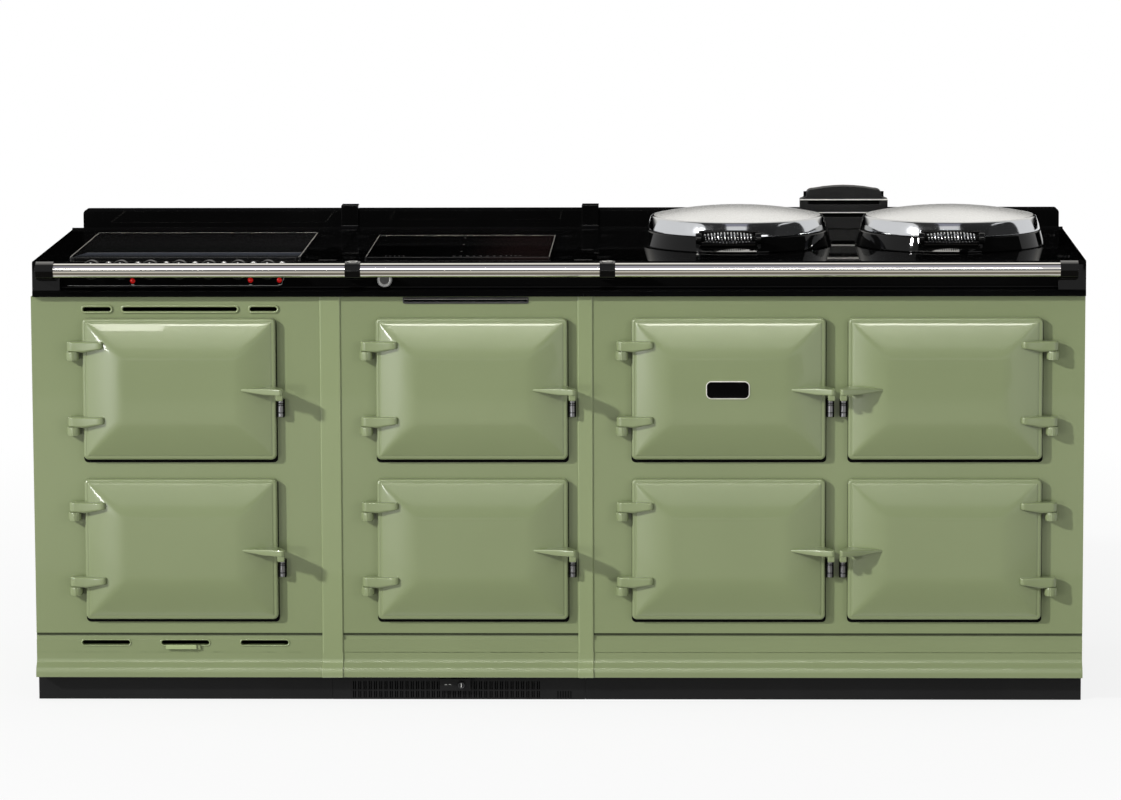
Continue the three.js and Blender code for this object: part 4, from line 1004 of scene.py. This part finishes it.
def build_plate_details():
    """Beads round the base slots, in a lighter green that is painted highlight, and the trim of the middle air
    slot.
    """
    bm = bmesh.new()
    for centre in BASE_SLOTS:
        path = slot_path(centre * MM, 120 * MM, 49.4 * MM, 6.1 * MM, FACE - 0.4 * MM)
        merge_into(bm, loop_bm(path, 1.5 * MM))
    keep("base_slot_beads", bm, GREEN_PAINTED_LIGHTER, "root", "green_enamel", angle=60)
    x0, x1, z0, z1 = (value * MM for value in MIDDLE_VENT)
    outer = rectangle(x0 - 2.2 * MM, x1 + 2.2 * MM, z0 - 2.4 * MM, z1 + 1.6 * MM)
    outer = fillet(outer, [4 * MM, 4 * MM, 1 * MM, 1 * MM])
    inner = rectangle(x0 + 0.4 * MM, x1 - 0.4 * MM, z0 + 1.4 * MM, z1 - 0.6 * MM)
    inner = fillet(inner, [3 * MM, 3 * MM, 1 * MM, 1 * MM])
    trim = frame_bm(outer, inner, along_y, FACE - 2.4 * MM, FACE + 0.6 * MM)
    bevel_edges(trim, 0.5 * MM, 2, 50)
    keep("middle_vent_trim", trim, TRIM, "root", "brushed_steel")
    bar = rectangle(x0 + 0.4 * MM, x1 - 0.4 * MM, z1 - 3.2 * MM, z1 - 2.2 * MM)
    bar = solid_prism(bar, along_y, FACE - 1.2 * MM, FACE + 3 * MM)
    keep("middle_vent_blade", bar, LIGHT_TRIM, "root", "brushed_steel")


def build_plain_plate():
    """Dark plate on the upper left door of the right module; its bright edge is a painted highlight."""
    body = "door_right_inner_top"
    front = RIM_PLANE - DOOR_CROWN
    x0, x1, z0, z1 = (value * MM for value in PLAIN_PLATE)
    outline = fillet(rectangle(x0, x1, z0, z1), 11 * MM, 10)
    plate = solid_prism(outline, along_y, front - 1.6 * MM, front + 1.5 * MM, 0.5 * MM, 2)
    keep("plain_plate_rim", plate, EDGE_PAINTED_HIGHLIGHT, body, "polished_steel")
    edge = 1.8 * MM
    field = solid_prism(
        fillet(rectangle(x0 + edge, x1 - edge, z0 + edge, z1 - edge), 9.2 * MM, 10),
        along_y, front - 1.9 * MM, front, 0.25 * MM, 2,
    )
    keep("plain_plate_field", field, BLACK, body, "black_enamel")


def build_vent_beads():
    """Raised rims round the three air slots over the upper left door, in a lighter green that is painted
    highlight.
    """
    bm = bmesh.new()
    z0, z1 = (value * MM for value in VENT_HEIGHTS)
    for x0, x1 in VENT_SLOTS:
        centre, half = (x0 + x1) / 2 * MM, (x1 - x0) / 2 * MM
        radius = (z1 - z0) / 2 + 1.9 * MM
        path = slot_path(centre, (z0 + z1) / 2, half + 1.9 * MM, radius, FACE - 1.2 * MM)
        merge_into(bm, loop_bm(path, 2.3 * MM))
    keep("vent_beads", bm, GREEN_PAINTED_LIGHTER, "root", "green_enamel", angle=60)


def base_profile(proud):
    """Section of the base moulding: two narrow facets and the skirt."""
    points = [
        (12, 101), (0, 101), (0, 88.5), (-0.5, 86), (-1.3, 83.8), (-1.5, 83.4), (-2.9, 80.7), (-3.1, 80.3),
        (-6.2, 77.4), (-9.8, 74.4), (-12.6, 71.9), (-13.6, 70.8), (-13.8, 70.4), (-15.3, 67.5), (-15.5, 67.1),
        (-16.7, 64.4), (-17.4, 61.6), (-17.5, 59), (-17.5, 53), (-16.8, 52.1), (12, 52.1),
    ]
    return [(FACE + y * MM - (proud if y < 10 else 0), z * MM) for y, z in points]


def build_base():
    """Base panels: the flat part with its slots as in the frame, the moulding drawn finer."""
    for name in MODULES:
        node = f"base_panel_{name}"
        low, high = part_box(node)
        bm = bmesh.new()
        bm.from_mesh(NODES[node].data)
        bm.transform(NODES[node].matrix_world)
        bmesh.ops.remove_doubles(bm, verts=bm.verts, dist=WELD_DISTANCE)
        everything = list(bm.verts) + list(bm.edges) + list(bm.faces)
        cut = (0, 0, 100 * MM)
        bmesh.ops.bisect_plane(bm, geom=everything, plane_co=cut, plane_no=(0, 0, 1), clear_inner=True)
        bmesh.ops.dissolve_limit(bm, angle_limit=FLAT_ANGLE, verts=bm.verts, edges=bm.edges)
        keep(f"{node}_plate", bm, GREEN, "root", "green_enamel", node, clean=False)
        moulding = solid_prism(base_profile(0.0), along_x, low.x, high.x)
        keep(f"{node}_moulding", moulding, GREEN, "root", "green_enamel")
    # The pull tab's face is a much lighter green: painted highlight.
    tab_low = (-789 * MM, FACE - 8.2 * MM, 107.6 * MM)
    tab = box_bm(tab_low, (-727 * MM, FACE - 5 * MM, 116.4 * MM), 0.8 * MM)
    keep("base_tab_face", tab, TAB_GREEN_PAINTED_LIGHT, "root", "green_enamel")


def build_strips():
    """Joint strips with rounded long edges, in a lighter green that is painted highlight; their foot follows
    the base moulding.
    """
    for side in SIDES:
        node = f"joint_strip_{side}"
        low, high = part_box(node)
        back, front = FACE + 3 * MM, FACE - 3 * MM
        corners = [(low.x, back), (low.x, front), (high.x, front), (high.x, back)]
        outline = fillet(corners, [0, 3 * MM, 3 * MM, 0], 8)
        shaft = solid_prism(outline, along_z, 96 * MM, high.z)
        keep(f"{node}_face", shaft, GREEN_PAINTED_LIGHTER, "root", "green_enamel", node, angle=60)
        foot = solid_prism(base_profile(2.96 * MM), along_x, low.x, high.x)
        bevel_edges(foot, 2.6 * MM, 5, 60)
        keep(f"{node}_foot", foot, GREEN_PAINTED_LIGHTER, "root", "green_enamel", angle=60)


def build_seams():
    """Dark green strips in the groove between the front plates and the base panels: painted shade."""
    for name in MODULES:
        low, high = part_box(f"base_panel_{name}")
        seam_low = (low.x + 1 * MM, FACE + 0.4 * MM, 135.6 * MM)
        seam = box_bm(seam_low, (high.x - 1 * MM, FACE + 3 * MM, 139.9 * MM))
        keep(f"base_seam_{name}", seam, GROOVE_SHADE, "root", None)


def slot_path(x, z, half, radius, y):
    """A closed path round a slot with round ends."""
    right = arc(x + half - radius, z, radius, -math.pi / 2)
    left = arc(x - half + radius, z, radius, math.pi / 2)
    return [(u, y, v) for u, v in right + left]


def build_plinth_details():
    """Thin bars in the grille's slots, a dark sheet behind them that is painted shade, and the short slots
    beside them drawn as dark marks: painted shade of openings.
    """
    bars = bmesh.new()
    face = FACE + 24 * MM
    for i in range(GRILLE_COUNT):
        centre = (GRILLE_START + (i + 0.5) * GRILLE_PITCH) * MM
        for z0, z1 in GRILLE_ROWS:
            bar = rectangle(centre - 0.9 * MM, centre + 0.9 * MM, (z0 - 0.5) * MM, (z1 + 0.5) * MM)
            merge_into(bars, solid_prism(bar, along_y, face + 0.6 * MM, face + 2.6 * MM))
    keep("grille_bars", bars, PLINTH, "root", "plinth_paint")
    # Dark sheet behind the grille: painted shade.
    dark = box_bm(
        ((GRILLE_START - 6) * MM, face + 9 * MM, 1 * MM),
        ((GRILLE_START + GRILLE_COUNT * GRILLE_PITCH + 6) * MM, face + 11 * MM, 48 * MM),
    )
    keep("grille_shade_sheet", dark, DARK, "root", "black_plastic")
    # Short slots drawn as dark marks on the plinth face: painted shade of openings.
    extra = bmesh.new()
    for i in range(6):
        x = (-2.5 + 5.2 * i) * MM
        outline = rectangle(x, x + 2.6 * MM, 3 * MM, 17 * MM)
        merge_into(extra, solid_prism(outline, along_y, face - 0.2 * MM, face + 0.5 * MM))
    keep("plinth_slot_shade_marks", extra, DARK, "root", "black_plastic")


def build_valve_knob():
    """The rotary control in the plinth: a light ring, a hub and a pointer."""
    node = "plinth_valve_knob"
    low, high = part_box(node)
    x, z = (low.x + high.x) / 2, (low.z + high.z) / 2
    profile = [(0, 0), (6.9, 0), (6.9, 6.2), (6.4, 7.6), (5.9, 8.3), (5.4, 8.3), (5.2, 7.4), (0, 7.2)]
    bm = lathe_bm(profile, 48, facing_front(x, high.y, z))
    keep(f"{node}_ring", bm, TRIM, node, "black_plastic", node)
    pointer = box_bm(
        (x - 0.8 * MM, high.y - 8.2 * MM, z - 4.2 * MM), (x + 0.8 * MM, high.y - 7 * MM, z + 4.2 * MM), 0.2 * MM
    )
    keep(f"{node}_pointer", pointer, MARK, node, None)
    hub = disc_bm(5.1, 7.5, facing_front(x, high.y - 0.1 * MM, z))
    keep(f"{node}_hub", hub, KNOB, node, "black_plastic")
    marks = bmesh.new()
    box_front = FACE + 10 * MM
    for mark_x in (-229, -221):
        outline = rectangle(mark_x * MM, (mark_x + 5) * MM, 31.9 * MM, 33.3 * MM)
        merge_into(marks, solid_prism(outline, along_y, box_front - 0.2 * MM, box_front + 0.4 * MM))
    keep("valve_marks", marks, MARK, "root", None)


def build_top_details():
    """Pale lines on the cowl's louvres and on the rail brackets' caps, which are painted highlights, and a dark
    sheet inside the cowl, which is painted shade.
    """
    low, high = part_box("vent_cowl")
    middle = (low + high) / 2
    lips = bmesh.new()
    for height, reach, radius in ((61.7, 92.5, 1.5), (34.4, 92.5, 1.1)):
        y, z = low.y - 0.2 * MM, TOP + height * MM
        points = [(middle.x - reach * MM, y, z), (middle.x + reach * MM, y, z)]
        merge_into(lips, tube_bm(points, radius * MM, 12))
    # Dark sheet inside the cowl: painted shade of its inside.
    inner_shade = box_bm(
        (low.x + 8 * MM, middle.y - 1 * MM, low.z + 1 * MM),
        (high.x - 8 * MM, middle.y + 1 * MM, high.z - 12 * MM),
    )
    keep("vent_cowl_baffle", inner_shade, DARK, "root", "black_plastic")
    caps = bmesh.new()
    line = [(9.6, -0.3), (10.6, -0.3), (10.6, 0.25), (9.6, 0.25), (9.6, -0.3)]
    for index in (1, 2):
        low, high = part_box(f"rail_bracket_{index}")
        place = Matrix.Translation(((low.x + high.x) / 2, low.y + 18 * MM, high.z - 0.3 * MM))
        merge_into(caps, lathe_bm(line, 40, place))
    keep("bracket_cap_lines", caps, EDGE_PAINTED_HIGHLIGHT, "root", "black_enamel")
    keep("vent_cowl_lips", lips, EDGE_PAINTED_HIGHLIGHT, "root", "black_enamel")


# ------------------------------------------------------------------ camera, light and floor

def build_camera():
    """A camera far to the front, turned and rolled a little as in the photograph."""
    data = bpy.data.cameras.new("camera")
    camera = linked("camera", data)
    yaw, pitch, roll = -0.0275, 0.1316, -0.004
    forward = Vector((math.sin(yaw) * math.cos(pitch), math.cos(yaw) * math.cos(pitch), -math.sin(pitch)))
    level = Vector((math.cos(yaw), -math.sin(yaw), 0.0))
    upright = level.cross(forward)
    right = level * math.cos(roll) + upright * math.sin(roll)
    up = upright * math.cos(roll) - level * math.sin(roll)
    turn = Matrix((right, up, -forward)).transposed().to_4x4()
    camera.matrix_world = Matrix.Translation((0.282, FACE - 10.0, 1.936)) @ turn
    data.sensor_width = 36.0
    data.lens = 162.42
    data.clip_end = 60.0
    bpy.context.scene.camera = camera


def area_light(name, place, target, size, power, mirrored=True):
    """A white rectangular lamp; one that isn't mirrored doesn't show in shiny surfaces."""
    data = bpy.data.lights.new(name, "AREA")
    data.shape = "RECTANGLE"
    data.size, data.size_y = size
    data.energy = power
    lamp = linked(name, data)
    lamp.location = place
    lamp.rotation_euler = (Vector(target) - Vector(place)).to_track_quat("-Z", "Y").to_euler()
    lamp.visible_glossy = mirrored


def build_lights():
    area_light("key", (-13.2, FACE - 10.5, 8.4), (0, FACE, 0.5), (0.9, 0.9), 2950)
    area_light("left softbox", (-5.2, FACE - 7.6, 0.5), (0, FACE, 0.5), (1.2, 0.8), 120)
    area_light("fill", (5.5, FACE - 8.5, 2.2), (0, FACE, 0.5), (3.0, 2.5), 50)
    area_light("right fill", (3.3, FACE - 3.6, 1.8), (0.6, FACE, 0.5), (1.6, 1.6), 26, mirrored=False)
    area_light("top", (0.0, FACE + 0.4, 4.2), (0, FACE + 0.3, 0.9), (3.4, 1.4), 25, mirrored=False)


def seen_rays(graph):
    """1 for camera, glossy and transmission rays, else 0."""
    path = graph.node("LightPath").outputs
    seen = graph.maths("MAXIMUM", path["Is Camera Ray"], path["Is Glossy Ray"])
    return graph.maths("MAXIMUM", seen, path["Is Transmission Ray"])


def build_world():
    """Even light, with white where camera, glossy and transmission rays see it."""
    world = bpy.data.worlds.new("studio")
    bpy.context.scene.world = world
    graph = Graph(world, clear=True)
    even = graph.node("Background", Color=tone((0.42, 0.425, 0.44)))
    white = graph.node("Background", Color=tone(1.0))
    graph.show(graph.mix(seen_rays(graph), even, white), "OutputWorld")


def only_in_reflections(mesh, name, place=(0, 0, 0)):
    """A card or flag of the studio: shiny surfaces show it, nothing else does."""
    card = linked(name, mesh)
    card.location = place
    card.visible_camera = False
    card.visible_diffuse = False
    card.visible_transmission = False
    card.visible_shadow = False


def glow(name, colour, strength=1.0):
    """The graph of a material that only emits, and its emission node."""
    graph = Graph(bpy.data.materials.new(name), clear=True)
    light = graph.node("Emission", Color=tone(colour), Strength=strength)
    graph.show(light)
    return graph, light


def build_studio_arch():
    """Flags and cards in an arch from the front over the cooker to the back."""
    radius, steps = 22.0, 48
    for name, x0, x1, first, last, stops in ARCHES:
        angles = [math.radians(first + (last - first) * k / steps) for k in range(steps + 1)]
        bm = bmesh.new()
        left, right = [
            [bm.verts.new((x, -radius * math.cos(a), radius * math.sin(a))) for a in angles] for x in (x0, x1)
        ]
        for k in range(steps):
            bm.faces.new((left[k], left[k + 1], right[k + 1], right[k]))
        mesh = to_mesh(bm, name)
        graph, light = glow(name, 1.0)
        axes = graph.axes()
        angle = graph.maths("ARCTAN2", axes["Z"], graph.maths("MULTIPLY", axes["Y"], -1.0))
        share = graph.maths("DIVIDE", angle, math.pi)
        graph.wire(graph.ramp(share, stops), light.inputs["Color"])
        mesh.materials.append(graph.owner)
        only_in_reflections(mesh, name, (0, 0, TOP))


FRONT_BANDS = (
    (0.0, 0.01), (0.068, 0.01), (0.08, 0.95), (0.215, 0.95),
    (0.225, (0.36, 0.36, 0.42)), (0.43, (0.36, 0.36, 0.42)), (0.45, 0.05), (0.6, 0.05),
)
REAR_BANDS = (
    (0.56, 0.05), (0.6, 0.05), (0.63, (1.0, 0.98, 0.93)), (0.9, (1.0, 0.98, 0.93)),
    (0.945, 0.05), (0.96, 0.0), (1.0, 0.0),
)
DARK_BANDS = ((0.0, 0.01), (0.3, 0.04), (0.55, 0.12))
ARCHES = (
    ("front arch", -4.6, 4.6, 0, 104, FRONT_BANDS),
    ("front flag left", -17.0, -4.6, 0, 104, DARK_BANDS),
    ("front flag right", 4.6, 24.0, 0, 104, DARK_BANDS),
    ("rear arch", -22.0, 22.0, 104, 180, REAR_BANDS),
)


def upright(x0, x1, z0, z1):
    """Corners of an upright card a little before the cooker."""
    y = FACE - 1.3
    return [(x0, y, z0), (x1, y, z0), (x1, y, z1), (x0, y, z1)]


def lying(near, far, x0, x1, far_x0, far_x1):
    """Corners of a card on the floor, from its near edge to its far one."""
    height = 0.01
    return [(x0, near, height), (x1, near, height), (far_x1, far, height), (far_x0, far, height)]


def build_cards():
    """The window that the upper left door shows, the bright line on the doors' rims, dark
    and brown tones for what shiny surfaces mirror of the room."""
    window = upright(-1.12, -0.935, 1.36, 1.58)
    window[3:] = [(-1.17, FACE - 1.3, 1.58), (-1.17, FACE - 1.3, 1.48)]
    wall = [(24.0, -22.0, 0.0), (24.0, 3.0, 0.0), (24.0, 3.0, 18.0), (24.0, -22.0, 18.0)]
    near, step, middle, far = FACE - 0.2, FACE - 1.5, FACE - 4.6, FACE - 16.0
    for name, corners, colour, strength in (
        ("window card", window, (1.0, 0.98, 0.9), 16.0),
        ("strip card", upright(-0.94, 1.05, 1.443, 1.53), (1.0, 0.98, 0.92), 26.0),
        ("dark wall", wall, 0.04, 1.0),
        ("brown card", lying(near, step, -2.4, 2.4, -2.4, 2.4), (0.2, 0.185, 0.155), 1.0),
        ("grey card", lying(step, middle, -2.4, 2.4, -2.4, 2.4), (0.66, 0.64, 0.57), 1.0),
        ("dark flag", lying(middle, far, -2.7, 2.9, -3.4, 3.6), 0.03, 1.0),
    ):
        bm = bmesh.new()
        bm.faces.new([bm.verts.new(corner) for corner in corners])
        mesh = to_mesh(bm, name)
        mesh.materials.append(glow(name, colour, strength)[0].owner)
        only_in_reflections(mesh, name)


def floor_material():
    """Keeps the shadow close to the cooker; further away it is plain white to the camera."""
    graph = Graph(bpy.data.materials.new("pale floor"), clear=True)
    shaded = graph.node("BsdfDiffuse", Color=tone((0.75, 0.75, 0.74)))
    bounce = graph.node("BsdfDiffuse", Color=tone((0.42, 0.42, 0.41)))
    white = graph.node("Emission", Color=tone(1.0))
    distance = graph.node("VectorMath", "LENGTH")
    graph.wire(graph.coordinates(), distance.inputs[0])
    share = graph.maths("DIVIDE", distance.outputs["Value"], 8.0)
    fade = graph.ramp(share, [(0.16, 0.84), (0.45, 1.0)])
    graph.show(graph.mix(seen_rays(graph), bounce, graph.mix(fade, shaded, white)))
    return graph.owner


def build_floor():
    reach = 60.0
    bm = bmesh.new()
    bm.faces.new([bm.verts.new((x, y, 0)) for x, y in rectangle(-reach, reach, -reach, reach)])
    mesh = to_mesh(outward(bm), "floor")
    mesh.materials.append(floor_material())
    linked("floor", mesh)


bpy.context.scene.view_settings.view_transform = "Standard"
build_camera()
build_world()
build_lights()
build_studio_arch()
build_cards()
build_floor()
dress_nodes()
for door_column in COLUMNS:
    for door_row in ROWS:
        build_door(door_column, door_row)
build_rails()
build_lids()
build_hobs()
build_knobs()
build_start_button()
build_panel_details()
build_plate_details()
build_plain_plate()
build_vent_beads()
build_base()
build_strips()
build_seams()
build_plinth_details()
build_valve_knob()
build_top_details()
